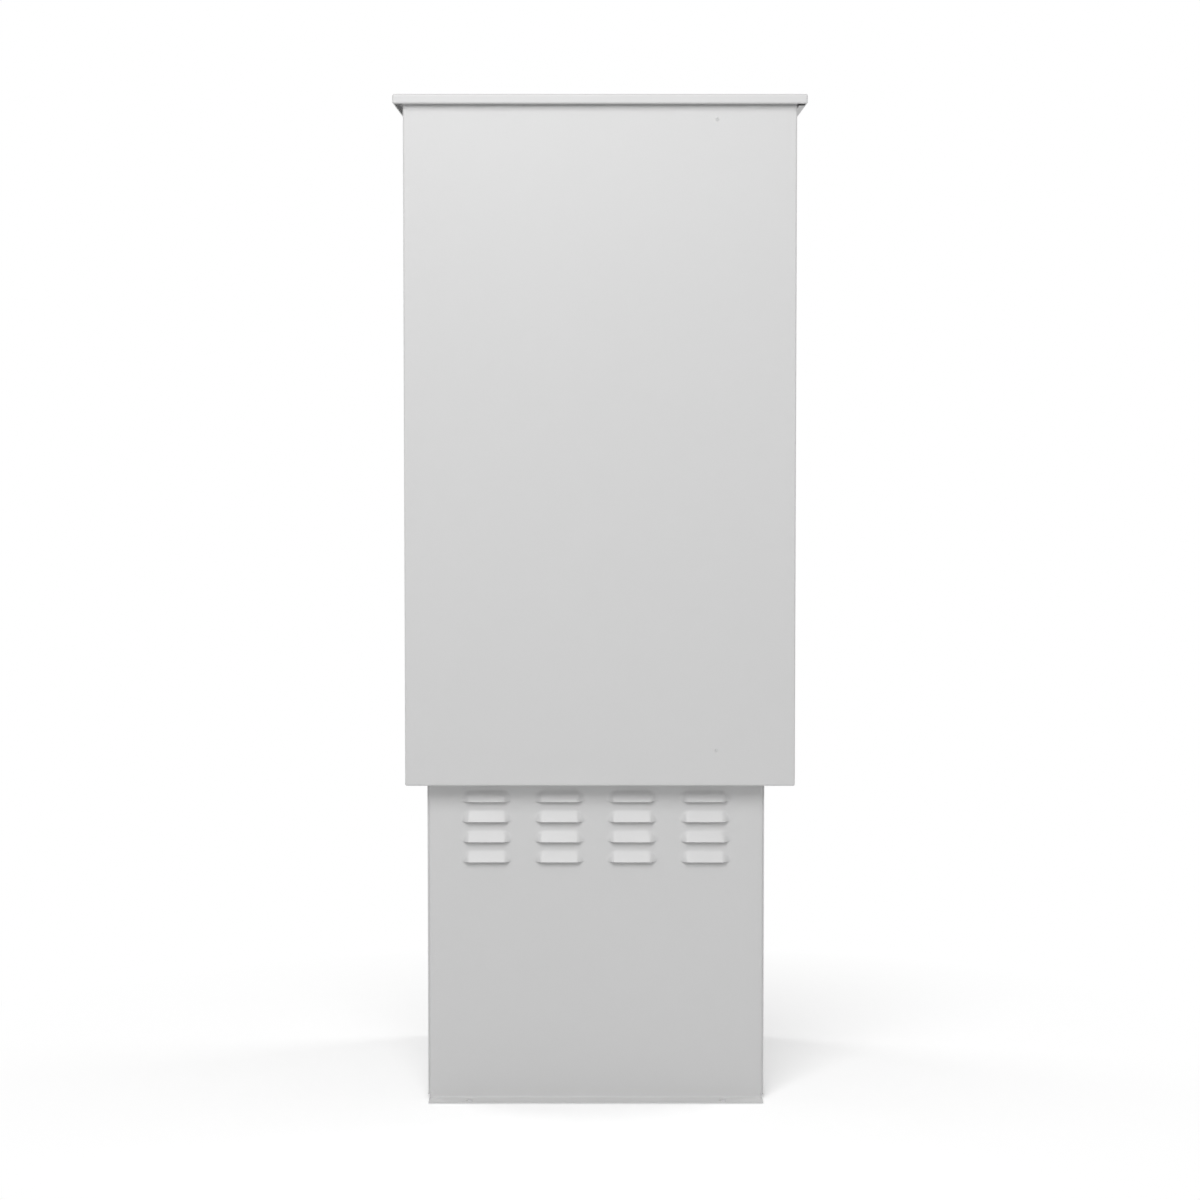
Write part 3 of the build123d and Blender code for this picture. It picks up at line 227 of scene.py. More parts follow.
class StageSettings(bpy.types.PropertyGroup):
    """Camera, light and floor"""

    lens: amount("Lens", "Focal length in millimetres", 102.8, unit="CAMERA")
    eye: FloatVectorProperty(
        name="Eye", description="Where the camera stands", subtype="TRANSLATION", unit="LENGTH", size=3,
        default=(0.007, -6.008, 1.2055),
    )
    tilt: FloatProperty(
        name="Tilt", description="How far the camera looks down", subtype="ANGLE", unit="ROTATION",
        default=math.radians(3.622),
    )
    key: amount("Key", "Power of the softbox in watts", 76.0, unit="POWER")
    fill: amount("Fill", "Power of each lamp behind in watts", 50.0, unit="POWER")
    sky: amount("Sky", "Light from all round", 0.41)
    floor: tint("Floor", "Colour of the floor", (0.93, 0.93, 0.93))
    floor_glow: share("Floor Glow", "Light added to the floor where it is seen", 0.2)
    floor_bounce: share("Floor Bounce", "Share of the floor's colour that lights the object", 0.8)
    fade_start: distance("Fade Start", "Where the floor starts to fade to white", 0.35)
    fade_end: distance("Fade End", "Where the floor is white", 1.3)


def new_material(name):
    """A node material: its tree, its shader and the object coordinates."""
    material = bpy.data.materials.new(name)
    material.use_nodes = True
    tree = material.node_tree
    place = tree.nodes.new("ShaderNodeTexCoord").outputs["Object"]
    return material, tree, tree.nodes["Principled BSDF"], place


def noise(tree, place, scale, detail=2.0):
    """Cloudy pattern from 0 to 1."""
    node = tree.nodes.new("ShaderNodeTexNoise")
    node.inputs["Scale"].default_value = scale
    node.inputs["Detail"].default_value = detail
    tree.links.new(place, node.inputs["Vector"])
    return node.outputs[0]


def stretched(tree, place, scale):
    """Coordinates drawn out so that a pattern runs along one axis."""
    node = tree.nodes.new("ShaderNodeMapping")
    node.inputs["Scale"].default_value = scale
    tree.links.new(place, node.inputs["Vector"])
    return node.outputs["Vector"]


def spread_to(tree, value, low, high, start=0.0, end=1.0):
    """A value moved from one range to another."""
    node = tree.nodes.new("ShaderNodeMapRange")
    node.inputs["From Min"].default_value = start
    node.inputs["From Max"].default_value = end
    node.inputs["To Min"].default_value = low
    node.inputs["To Max"].default_value = high
    tree.links.new(value, node.inputs["Value"])
    return node.outputs["Result"]


def shade(colour, factor):
    """A colour made lighter or darker."""
    return (*(min(1.0, part * factor) for part in colour), 1.0)


def blend_colours(tree, factor, first, second):
    """Two colours or sockets mixed by a pattern."""
    node = tree.nodes.new("ShaderNodeMix")
    node.data_type = "RGBA"
    tree.links.new(factor, node.inputs[0])
    for socket, colour in ((node.inputs[6], first), (node.inputs[7], second)):
        if isinstance(colour, tuple):
            socket.default_value = colour
        else:
            tree.links.new(colour, socket)
    return node.outputs[2]


def mottled(tree, pattern, colour, dark, light):
    """A colour that a pattern makes darker and lighter."""
    return blend_colours(tree, pattern, shade(colour, dark), shade(colour, light))


def relief(tree, shader, height, depth, strength):
    """Fine relief on the surface."""
    node = tree.nodes.new("ShaderNodeBump")
    node.inputs["Strength"].default_value = strength
    node.inputs["Distance"].default_value = depth
    tree.links.new(height, node.inputs["Height"])
    tree.links.new(node.outputs["Normal"], shader.inputs["Normal"])


def cells(tree, place, scale):
    """A pattern of cells, as a node with their colours and distances."""
    node = tree.nodes.new("ShaderNodeTexVoronoi")
    node.inputs["Scale"].default_value = scale
    tree.links.new(place, node.inputs["Vector"])
    return node


def upward(tree):
    """1 on faces that look up, 0 on walls."""
    split = tree.nodes.new("ShaderNodeSeparateXYZ")
    tree.links.new(tree.nodes.new("ShaderNodeNewGeometry").outputs["Normal"], split.inputs[0])
    return spread_to(tree, split.outputs["Z"], low=0.0, high=1.0, start=0.7, end=1.0)


def times(tree, first, second):
    """Two patterns, or a pattern and a number, multiplied."""
    node = tree.nodes.new("ShaderNodeMath")
    node.operation = "MULTIPLY"
    for socket, value in zip(node.inputs, (first, second)):
        if isinstance(value, float):
            socket.default_value = value
        else:
            tree.links.new(value, socket)
    return node.outputs[0]


def dress(tree, shader, tone, pattern, smooth, matt):
    """Gives a shader its colour, and a roughness that a pattern moves between two values."""
    tree.links.new(tone, shader.inputs["Base Color"])
    tree.links.new(spread_to(tree, pattern, low=smooth, high=matt), shader.inputs["Roughness"])


def powder_coat(settings):
    """Light grey powder coat: faint orange peel, clouding and a little dust where it lies flat."""
    material, tree, shader, place = new_material("powder coat")
    coat, rough = settings.coat, settings.coat_roughness
    clouded = mottled(tree, noise(tree, place, scale=2.2, detail=3.0), coat, dark=0.985, light=1.015)
    specks = noise(tree, place, scale=1500.0, detail=1.0)
    flecks = spread_to(tree, specks, low=0.0, high=0.35, start=0.5, end=0.8)
    flecked = blend_colours(tree, flecks, clouded, shade(coat, factor=0.93))
    patches = times(tree, upward(tree), noise(tree, place, scale=6.0, detail=5.0))
    dusty = blend_colours(tree, times(tree, patches, settings.dust_cover), flecked, (*settings.dust, 1.0))
    sheen = noise(tree, place, scale=30.0, detail=3.0)
    dress(tree, shader, dusty, sheen, smooth=rough - 0.05, matt=rough + 0.05)
    relief(tree, shader, noise(tree, place, scale=620.0, detail=2.0), depth=0.00012, strength=0.3)
    return material


def galvanised_sheet(settings):
    """Hot-dip zinc with its spangle."""
    material, tree, shader, place = new_material("galvanised sheet")
    split = tree.nodes.new("ShaderNodeSeparateColor")
    tree.links.new(cells(tree, place, scale=95.0).outputs["Color"], split.inputs[0])
    spangle = split.outputs[0]
    tone = mottled(tree, spangle, settings.zinc, dark=0.86, light=1.12)
    dress(tree, shader, tone, spangle, smooth=0.30, matt=0.46)
    shader.inputs["Metallic"].default_value = 1.0
    relief(tree, shader, noise(tree, place, scale=300.0, detail=3.0), depth=0.0001, strength=0.25)
    return material


def plated_steel(name, colour, rough, grain):
    """Plated or bright steel with a fine directional grain."""
    material, tree, shader, place = new_material(name)
    lines = noise(tree, stretched(tree, place, grain), scale=260.0, detail=3.0)
    tone = mottled(tree, lines, colour, dark=0.88, light=1.08)
    dress(tree, shader, tone, lines, smooth=rough - 0.07, matt=rough + 0.09)
    shader.inputs["Metallic"].default_value = 1.0
    relief(tree, shader, lines, depth=0.00004, strength=0.3)
    return material


def moulded(name, colour, rough, grain_scale, grain_depth):
    """Moulded or cast surface with a fine grain and a little clouding."""
    material, tree, shader, place = new_material(name)
    tone = mottled(tree, noise(tree, place, scale=45.0, detail=4.0), colour, dark=0.82, light=1.2)
    grain = noise(tree, place, grain_scale, detail=3.0)
    dress(tree, shader, tone, grain, smooth=rough - 0.08, matt=rough + 0.1)
    relief(tree, shader, grain, grain_depth, strength=0.4)
    return material


def foam_skin(settings):
    """Closed-cell foam with open pores, each pore's middle darkened with painted shade."""
    material, tree, shader, place = new_material("closed cell foam")
    pores_with_painted_shade = cells(tree, place, scale=900.0).outputs["Distance"]
    # painted shade: the colour darkens towards each pore's middle, where shade falls in the pit
    tone = mottled(tree, pores_with_painted_shade, settings.foam, dark=0.55, light=1.3)
    dress(tree, shader, tone, noise(tree, place, scale=60.0), smooth=0.82, matt=0.95)
    shader.inputs["Specular IOR Level"].default_value = 0.25
    relief(tree, shader, pores_with_painted_shade, depth=0.0004, strength=0.6)
    return material


def coat_node(node, material):
    """Gives a CAD node its finish."""
    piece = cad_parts[node]
    piece.data.materials.clear()
    piece.data.materials.append(material)


def deselect_all():
    """Leaves nothing selected, in object mode."""
    if bpy.context.object and bpy.context.object.mode != "OBJECT":
        bpy.ops.object.mode_set(mode="OBJECT")
    bpy.ops.object.select_all(action="DESELECT")


def only(piece):
    """Makes one piece the selected and active one."""
    deselect_all()
    piece.select_set(True)
    bpy.context.view_layer.objects.active = piece
    return piece


def settle():
    """Puts the active piece's place into its mesh."""
    bpy.ops.object.transform_apply(location=True, rotation=True, scale=True)
    return bpy.context.object


def pick(test, kind="VERT"):
    """In edit mode, selects the points, edges or faces that pass a test."""
    bpy.ops.mesh.select_mode(type=kind)
    bpy.ops.mesh.select_all(action="DESELECT")
    data = bpy.context.edit_object.data
    mesh = bmesh.from_edit_mesh(data)
    for item in {"VERT": mesh.verts, "EDGE": mesh.edges, "FACE": mesh.faces}[kind]:
        if test(item):
            item.select_set(True)
    mesh.select_flush_mode()
    bmesh.update_edit_mesh(data)


def select_everything():
    """In edit mode, selects the whole mesh."""
    bpy.ops.mesh.select_all(action="SELECT")


def near(value, target):
    """Whether two lengths agree."""
    return abs(value - target) < TOUCH


def border(axis, at, reach=None):
    """A test for open edges that lie at one place along an axis, within a reach on the others."""
    def found(edge):
        if len(edge.link_faces) != 1 or not all(near(point.co[axis], at) for point in edge.verts):
            return False
        return all(
            low - TOUCH <= point.co[other] <= high + TOUCH
            for other, (low, high) in (reach or {}).items()
            for point in edge.verts
        )
    return found


def sharp_rim(axis, at):
    """A test for sharp edges that lie at one place along an axis."""
    def found(edge):
        return all(near(point.co[axis], at) for point in edge.verts) and edge.calc_face_angle(0) > SHARP
    return found


def extrude(move):
    """In edit mode, extrudes what is selected."""
    bpy.ops.mesh.extrude_region_move(TRANSFORM_OT_translate={"value": move})


def draw_out(test, move):
    """Extrudes the chosen open edges along a move."""
    pick(test, "EDGE")
    extrude(move)


def fold(test, centre, axis, angle):
    """Folds a sheet on from the chosen open edges, round a bend."""
    pick(test, "EDGE")
    bpy.ops.mesh.spin(steps=BEND_STEPS, angle=angle, center=centre, axis=axis)
    select_everything()
    bpy.ops.mesh.remove_doubles(threshold=WELD)


def apply_modifier(piece, kind, **values):
    """Adds a modifier to the active piece and applies it."""
    modifier = piece.modifiers.new(kind.lower(), kind)
    for name, value in values.items():
        setattr(modifier, name, value)
    bpy.ops.object.modifier_apply(modifier=modifier.name)


def hand_over(piece, name, material, slot, body, *nodes):
    """Names a finished piece, gives it its finish and lets it stand for its CAD nodes."""
    piece.name = name
    piece.data.name = name
    piece.data.materials.clear()
    piece.data.materials.append(material)
    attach(piece, body)
    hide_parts(*nodes)


def join(pieces):
    """Several pieces made one object, each with its own mesh islands."""
    only(pieces[0])
    for piece in pieces:
        piece.select_set(True)
    if len(pieces) > 1:
        bpy.ops.object.join()
    return bpy.context.object


def copies_at(piece, moves):
    """The piece copied to each move, as one object."""
    made = []
    for move in moves:
        only(piece)
        bpy.ops.object.duplicate()
        bpy.context.object.location = move
        made.append(settle())
    bpy.data.objects.remove(piece)
    return join(made)


def solids_of(node):
    """The boxes of the separate solids in a CAD node, in order of place."""
    mesh = bmesh.new()
    mesh.from_mesh(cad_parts[node].data)
    bmesh.ops.remove_doubles(mesh, verts=mesh.verts, dist=WELD)
    boxes, seen = [], set()
    for start in mesh.verts:
        if start in seen:
            continue
        island, front = [], [start]
        seen.add(start)
        while front:
            point = front.pop()
            island.append(point.co.copy())
            for edge in point.link_edges:
                other = edge.other_vert(point)
                if other not in seen:
                    seen.add(other)
                    front.append(other)
        low, high = (Vector(fit(co[axis] for co in island) for axis in range(3)) for fit in (min, max))
        boxes.append((low, high))
    mesh.free()
    return sorted(boxes, key=lambda box: tuple(round(part, 4) for part in box[0]))


def check_closed(piece):
    """Raises an error if a piece has an open edge or shows its inside."""
    mesh = bmesh.new()
    mesh.from_mesh(piece.data)
    whole = all(len(edge.link_faces) == 2 for edge in mesh.edges)
    volume = mesh.calc_volume(signed=True)
    mesh.free()
    if not whole or volume <= 0:
        raise RuntimeError(f"{piece.name} is not a closed solid")


def tidy_mesh():
    """Merges doubles and turns the faces of the piece in edit mode outwards, then leaves edit mode."""
    bpy.ops.mesh.select_mode(type="VERT")
    select_everything()
    bpy.ops.mesh.remove_doubles(threshold=WELD / 10)
    bpy.ops.mesh.normals_make_consistent(inside=False)
    bpy.ops.object.mode_set(mode="OBJECT")


def soften(degrees=35):
    """Smooth shading between faces that meet at less than an angle."""
    bpy.ops.object.shade_smooth_by_angle(angle=math.radians(degrees))


def turn_to(piece, axis, sign):
    """Turns a piece that was modelled along +Z to stand along an axis, from its own origin."""
    quarter = sign * math.pi / 2
    turns = ((0, quarter, 0), (-quarter, 0, 0), (0 if sign > 0 else math.pi, 0, 0))
    only(piece).rotation_euler = turns[axis]
    return settle()


def seal_ring(node, axis, width, corner, crown):
    """A strip laid round a rectangle, flat below and rounded above."""
    low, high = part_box(node)
    across = high - low
    deselect_all()
    bpy.ops.mesh.primitive_plane_add(size=1)
    piece = bpy.context.object
    piece.rotation_euler = (0, math.pi / 2, 0) if axis == 0 else (0, 0, 0)
    piece.scale = (across.z if axis == 0 else across.x, across.y, 1)
    piece.location = (low + high) / 2
    piece.location[axis] = low[axis]
    settle()
    bpy.ops.object.mode_set(mode="EDIT")
    select_everything()
    if corner > width:
        bpy.ops.mesh.bevel(offset=corner, segments=CORNER_STEPS, affect="VERTICES")
        select_everything()
    bpy.ops.mesh.inset(thickness=width, use_even_offset=True)
    bpy.ops.mesh.delete(type="FACE")
    select_everything()
    rise = [0, 0, 0]
    rise[axis] = across[axis]
    extrude(rise)
    select_everything()
    bpy.ops.mesh.normals_make_consistent(inside=False)
    if 0 < corner <= width:
        def outer_corner(edge):
            return near(edge.calc_length(), across[axis]) and all(
                near(min(point.co[other] - low[other], high[other] - point.co[other]), 0)
                for point in edge.verts
                for other in range(3)
                if other != axis
            )

        pick(outer_corner, "EDGE")
        bpy.ops.mesh.bevel(offset=corner, segments=CORNER_STEPS, affect="EDGES")
    pick(sharp_rim(axis, high[axis]), "EDGE")
    bpy.ops.mesh.bevel(offset=crown, segments=CROWN_STEPS, profile=0.5, affect="EDGES")
    tidy_mesh()
    soften(degrees=50)
    return piece


def spun(profile, steps):
    """A solid spun round the Z axis from a profile of (radius, height) that starts and ends on the axis."""
    deselect_all()
    bpy.ops.mesh.primitive_circle_add(vertices=3, radius=0.001)
    piece = bpy.context.object
    bpy.ops.object.mode_set(mode="EDIT")
    select_everything()
    bpy.ops.mesh.merge(type="CENTER")
    place = Vector((profile[0][0], 0, profile[0][1]))
    bpy.ops.transform.translate(value=place)
    for radius, height in profile[1:]:
        reached = Vector((radius, 0, height))
        bpy.ops.mesh.extrude_vertices_move(TRANSFORM_OT_translate={"value": reached - place})
        place = reached
    select_everything()
    bpy.ops.mesh.spin(steps=steps, angle=2 * math.pi, center=(0, 0, 0), axis=(0, 0, 1))
    tidy_mesh()
    return piece


def recess(top, radius, depth):
    """Sinks a drive with lobes into the flat top of the head in edit mode."""
    pick(lambda face: face.normal.z > LEVEL and near(face.calc_center_median().z, top), "FACE")
    mesh = bmesh.from_edit_mesh(bpy.context.edit_object.data)
    rim = max(point.co.xy.length for face in mesh.faces if face.select for point in face.verts)
    bpy.ops.mesh.inset(thickness=rim - radius)
    mesh = bmesh.from_edit_mesh(bpy.context.edit_object.data)
    chosen = {point.index for face in mesh.faces if face.select for point in face.verts}

    def between_lobes(point):
        turns = math.atan2(point.co.y, point.co.x) / (2 * math.pi)
        return point.index in chosen and round(turns * SCREW_SIDES) % (SCREW_SIDES // DRIVE_LOBES) in (0, 1)

    pick(between_lobes)
    bpy.ops.transform.resize(value=(DRIVE_WAIST, DRIVE_WAIST, 1), center_override=(0, 0, top))
    pick(lambda face: {point.index for point in face.verts} == chosen, "FACE")
    extrude((0, 0, -depth))


def screw(thread, length, radius, height, flat):
    """A screw along +Z whose head seats at the origin: domed above its seat, or flush and coned below it."""
    deselect_all()
    bpy.ops.mesh.primitive_circle_add(
        vertices=SCREW_SIDES, radius=thread / 2, fill_type="NGON", location=(0, 0, -length),
    )
    piece = settle()
    bpy.ops.object.mode_set(mode="EDIT")
    select_everything()
    spread_out = 2 * radius / thread
    rises = (length - height, height) if flat else (length, 0.0, height)
    widths = (1.0, spread_out) if flat else (1.0, spread_out, 1.0)
    for rise, width in zip(rises, widths):
        extrude((0, 0, rise))
        bpy.ops.transform.resize(value=(width, width, 1), center_override=(0, 0, 0))
    top = 0.0 if flat else height
    if not flat:
        pick(sharp_rim(2, top), "EDGE")
        bpy.ops.mesh.bevel(offset=HEAD_ROUND * height, segments=CROWN_STEPS, affect="EDGES")
    recess(top, radius=DRIVE_REACH * thread, depth=DRIVE_REACH * thread)
    tidy_mesh()
    soften()
    return piece


class CABINET_OT_coat_sheet_metal(bpy.types.Operator):
    """Powder coats the body, roof, door and plinth covers"""

    bl_idname = "cabinet.coat_sheet_metal"
    bl_label = "Coat Sheet Metal"

    def execute(self, context):
        coat = powder_coat(context.scene.cabinet_finish)
        for node in PAINTED:
            coat_node(node, coat)
        return {"FINISHED"}


class CABINET_OT_finish_fittings(bpy.types.Operator):
    """Gives the rails, fasteners, lock and earth bar their metals and plastics"""

    bl_idname = "cabinet.finish_fittings"
    bl_label = "Finish Fittings"

    def execute(self, context):
        settings = context.scene.cabinet_finish
        finishes = [(GALVANISED, galvanised_sheet(settings))]
        for nodes, name, colour, rough, grain in STEELS:
            finishes.append((nodes, plated_steel(name, getattr(settings, colour), rough, grain)))
        for nodes, name, colour, rough, scale, depth in MOULDINGS:
            finishes.append((nodes, moulded(name, getattr(settings, colour), rough, scale, depth)))
        for nodes, material in finishes:
            for node in nodes:
                coat_node(node, material)
        return {"FINISHED"}


class CABINET_OT_press_plinth_walls(bpy.types.Operator):
    """Folds the two plinth walls and presses their louvres"""

    bl_idname = "cabinet.press_plinth_walls"
    bl_label = "Press Plinth Walls"

    def execute(self, context):
        sizes = context.scene.plinth_sizes
        low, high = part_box("plinth_left_wall")
        face = low.y + sizes.base_flange
        wall = self.press_louvre_field(sizes, face, high.z)
        self.fold_wall(wall, sizes, face, high)
        coat = bpy.data.materials["powder coat"]
        only(wall)
        bpy.ops.object.duplicate()
        other = bpy.context.object
        bpy.ops.object.mode_set(mode="EDIT")
        select_everything()
        bpy.ops.transform.resize(value=(1, -1, 1), center_override=(0, 0, 0))
        bpy.ops.mesh.flip_normals()
        bpy.ops.object.mode_set(mode="OBJECT")
        for piece, name, side in ((wall, "left", -1), (other, "right", 1)):
            only(piece)
            apply_modifier(
                piece, "SOLIDIFY", thickness=sizes.sheet, offset=-1.0, use_even_offset=True,
                use_quality_normals=True,
            )
            self.drill_holes(piece, sizes, face, side)
            only(piece)
            soften()
            check_closed(piece)
            hand_over(
                piece, f"louvred_wall_{name}", coat, "cabinet_paint", "cabinet", f"plinth_{name}_wall",
            )
        return {"FINISHED"}

    def press_louvre_field(self, sizes, face, top):
        """A sheet with one louvre pulled out of it, repeated in rows and columns."""
        lip = top - sizes.top_lip
        first = -sizes.column_pitch * (sizes.louvre_columns - 1) / 2
        deselect_all()
        bpy.ops.mesh.primitive_grid_add(
            x_subdivisions=TILE_COLUMNS, y_subdivisions=TILE_ROWS, size=1,
            location=(first, face, lip + sizes.row_pitch / 4), rotation=(math.pi / 2, 0, 0),
        )
        bpy.context.object.scale = (sizes.column_pitch, sizes.row_pitch, 1)
        tile = settle()
        bpy.ops.object.mode_set(mode="EDIT")
        reach = sizes.louvre_length / 2 + SLIT_SLACK

        def on_slit(edge):
            return all(near(point.co.z, lip) and abs(point.co.x - first) < reach for point in edge.verts)

        pick(on_slit, "EDGE")
        bpy.ops.mesh.edge_split(type="EDGE")
        self.pull_louvre(sizes, first, lip)
        bpy.ops.object.mode_set(mode="OBJECT")
        for count, step in (
            (sizes.louvre_columns, (sizes.column_pitch, 0, 0)),
            (sizes.louvre_rows, (0, 0, -sizes.row_pitch)),
        ):
            apply_modifier(
                tile, "ARRAY", count=count, use_relative_offset=False, use_constant_offset=True,
                constant_offset_displace=step, use_merge_vertices=True, merge_threshold=TOUCH,
            )
        return tile

    def pull_louvre(self, sizes, first, lip):
        """Pulls the points above the slit outwards, contour by contour, then eases the bends."""
        top = lip + sizes.louvre_rise
        corner = sizes.louvre_corner

        def depth(point):
            inward = sizes.louvre_length / 2 - abs(point.co.x - first)
            down = top - point.co.z
            if inward < corner and down < corner:
                inward = corner - math.hypot(corner - inward, corner - down)
            return max(0.0, min(inward, sizes.louvre_depth * down / sizes.louvre_rise))

        contours = {}
        for point in bmesh.from_edit_mesh(bpy.context.edit_object.data).verts:
            above = any(face.calc_center_median().z > lip for face in point.link_faces)
            if above and point.co.z > lip - TOUCH:
                contours.setdefault(round(depth(point), 5), set()).add(point.index)
        contours.pop(0.0, None)
        for pull, chosen in contours.items():
            pick(lambda point: point.index in chosen)
            bpy.ops.transform.translate(value=(0, -pull, 0))
        pick(lambda point: lip + EASE_ABOVE_LIP < point.co.z < top + EASE_PAST_TOP)
        bpy.ops.mesh.vertices_smooth(factor=0.5, repeat=EASE_ROUNDS, xaxis=False, yaxis=True, zaxis=False)

    def fold_wall(self, wall, sizes, face, high):
        """Draws the field out to the whole wall and folds its flanges and returns."""
        bent = sizes.bend + sizes.sheet
        end, top = high.x, high.z
        web, shoulder = end - bent, top - bent
        field = sizes.column_pitch * sizes.louvre_columns / 2
        field_top = top - sizes.top_lip + sizes.row_pitch * 3 / 4
        field_low = field_top - sizes.row_pitch * sizes.louvre_rows
        foot = sizes.sheet + 2 * bent
        quarter = math.pi / 2
        only(wall)
        bpy.ops.object.mode_set(mode="EDIT")
        draw_out(border(0, field), (web - field, 0, 0))
        draw_out(border(0, -field), (field - web, 0, 0))
        draw_out(border(2, field_low), (0, 0, foot - field_low))
        draw_out(border(2, foot), (0, 0, bent - foot))
        draw_out(border(2, field_top), (0, 0, shoulder - field_top))
        fold(border(2, shoulder), (0, face + bent, shoulder), (1, 0, 0), quarter)
        draw_out(border(2, top), (0, sizes.top_flange - bent, 0))
        fold(border(2, bent), (0, face - sizes.bend, bent), (1, 0, 0), quarter)
        draw_out(border(2, sizes.sheet, {0: (-web, web)}), (0, sizes.bend - sizes.base_flange, 0))
        for side in (-1, 1):
            fold(
                border(0, side * web, {2: (foot, shoulder), 1: (face, face)}),
                (side * web, face + bent, 0), (0, 0, 1), -side * quarter,
            )
            draw_out(border(0, side * end, {2: (foot, shoulder)}), (0, sizes.end_return - bent, 0))
            draw_out(border(0, side * web, {2: (0, sizes.sheet + TOUCH)}), (side * bent, 0, 0))
        select_everything()
        bpy.ops.mesh.remove_doubles(threshold=WELD)
        bpy.ops.mesh.normals_make_consistent(inside=False)
        mesh = bmesh.from_edit_mesh(wall.data)
        broad = max(mesh.faces, key=lambda item: item.calc_area())
        if broad.normal.y > 0:
            bpy.ops.mesh.flip_normals()
        bpy.ops.object.mode_set(mode="OBJECT")

    def drill_holes(self, wall, sizes, face, side):
        """Cuts the holes for the anchors, for the bolts to the body and for the cover screws."""
        away = side * (sizes.anchor_from_wall - face)
        half = sizes.anchor_spacing / 2
        holes = [(Vector((x, away, 0)), 2, sizes.anchor_hole) for x in (-half, half)]
        for node, axis, width in (
            ("plinth_bolts", 2, sizes.bolt_hole),
            ("plinth_cover_screws", 0, sizes.screw_hole),
        ):
            middles = [(low + high) / 2 for low, high in solids_of(node)]
            holes += [(middle, axis, width) for middle in middles if middle.y * side > 0]
        drills = []
        for place, axis, width in holes:
            deselect_all()
            bpy.ops.mesh.primitive_cylinder_add(
                vertices=DRILL_SIDES, radius=width / 2, depth=sizes.drill_reach,
            )
            drill = turn_to(bpy.context.object, axis, 1)
            drill.location = place
            drills.append(settle())
        drill = join(drills)
        only(wall)
        apply_modifier(wall, "BOOLEAN", operation="DIFFERENCE", solver="EXACT", object=drill)
        bpy.data.objects.remove(drill)


class CABINET_OT_lay_seals(bpy.types.Operator):
    """Lays the foam seals round the door and under the roof, and the gasket under the gland plate"""

    bl_idname = "cabinet.lay_seals"
    bl_label = "Lay Seals"

    def execute(self, context):
        foam = foam_skin(context.scene.cabinet_finish)
        sizes = context.scene.fitting_sizes
        door = (sizes.door_seal_width, sizes.door_seal_corner, sizes.door_seal_crown)
        roof = (sizes.roof_seal_width, 0.0, sizes.gasket_edge)
        gland = (sizes.gland_lap, sizes.gland_corner, sizes.gasket_edge)
        for name, node, axis, (width, corner, crown) in (
            ("door_gasket", "door_seal", 0, door),
            ("roof_gasket", "roof_seal", 2, roof),
            ("gland_ring", "gland_gasket", 2, gland),
        ):
            piece = seal_ring(node, axis, width, corner, crown)
            check_closed(piece)
            hand_over(piece, name, foam, "seal_foam", "cabinet", node)
        return {"FINISHED"}


class CABINET_OT_mould_grommets(bpy.types.Operator):
    """Spins one stepped membrane grommet and copies it to each hole of the gland plate"""

    bl_idname = "cabinet.mould_grommets"
    bl_label = "Mould Grommets"

    def execute(self, context):
        sizes = context.scene.fitting_sizes
        bore, nose, root = sizes.grommet_bore / 2, sizes.grommet_nose, sizes.grommet_root / 2
        lip, tip, sheet = sizes.grommet_lip, sizes.grommet_tip / 2, sizes.gland_sheet
        wall, edge = sizes.grommet_wall, sizes.grommet_edge
        collar, under = bore + lip / 2, -sheet - lip / 2
        inside = [
            (0, nose - wall), (tip - 0.8 * wall, nose - wall), (root - wall, lip - 0.8 * wall),
            (bore - 1.2 * wall, -0.2 * wall), (bore - wall, under),
        ]
        groove = [
            (collar - edge, under), (collar, under + edge), (collar, -sheet - edge), (collar - edge, -sheet),
            (bore, -sheet), (bore, 0),
        ]
        brim = [
            (bore + lip - edge, 0), (bore + lip, edge), (bore + 0.7 * lip, 0.7 * lip), (collar - edge, lip),
            (root + edge, lip), (root, lip + edge),
        ]
        profile = inside + groove + brim
        steps = sizes.grommet_steps
        for step in range(steps):
            out = root + (tip - root) * step / (steps - 1)
            low = lip + (nose - lip) * step / steps
            high = lip + (nose - lip) * (step + 1) / steps
            after = root + (tip - root) * min(step + 1, steps - 1) / (steps - 1)
            profile += [
                (out, low + edge), (out - edge, high - edge), (out - 2 * edge, high), (after + edge, high),
            ]
        dimple = [(tip / 3, nose), (tip / 3 - edge, nose - 2 * edge), (0, nose - 2 * edge)]
        piece = spun(profile[:-1] + dimple, GROMMET_SIDES)
        check_closed(piece)
        only(piece)
        soften(degrees=40)
        places = [
            ((low + high) / 2).to_2d().to_3d() + Vector((0, 0, high.z - nose))
            for low, high in solids_of("cable_grommets")
        ]
        grommets = copies_at(piece, places)
        colour = context.scene.cabinet_finish.rubber
        rubber = moulded("moulded rubber", colour, rough=0.68, grain_scale=500.0, grain_depth=0.00008)
        hand_over(grommets, "membrane_grommets", rubber, "grommet_rubber", "cabinet", "cable_grommets")
        return {"FINISHED"}


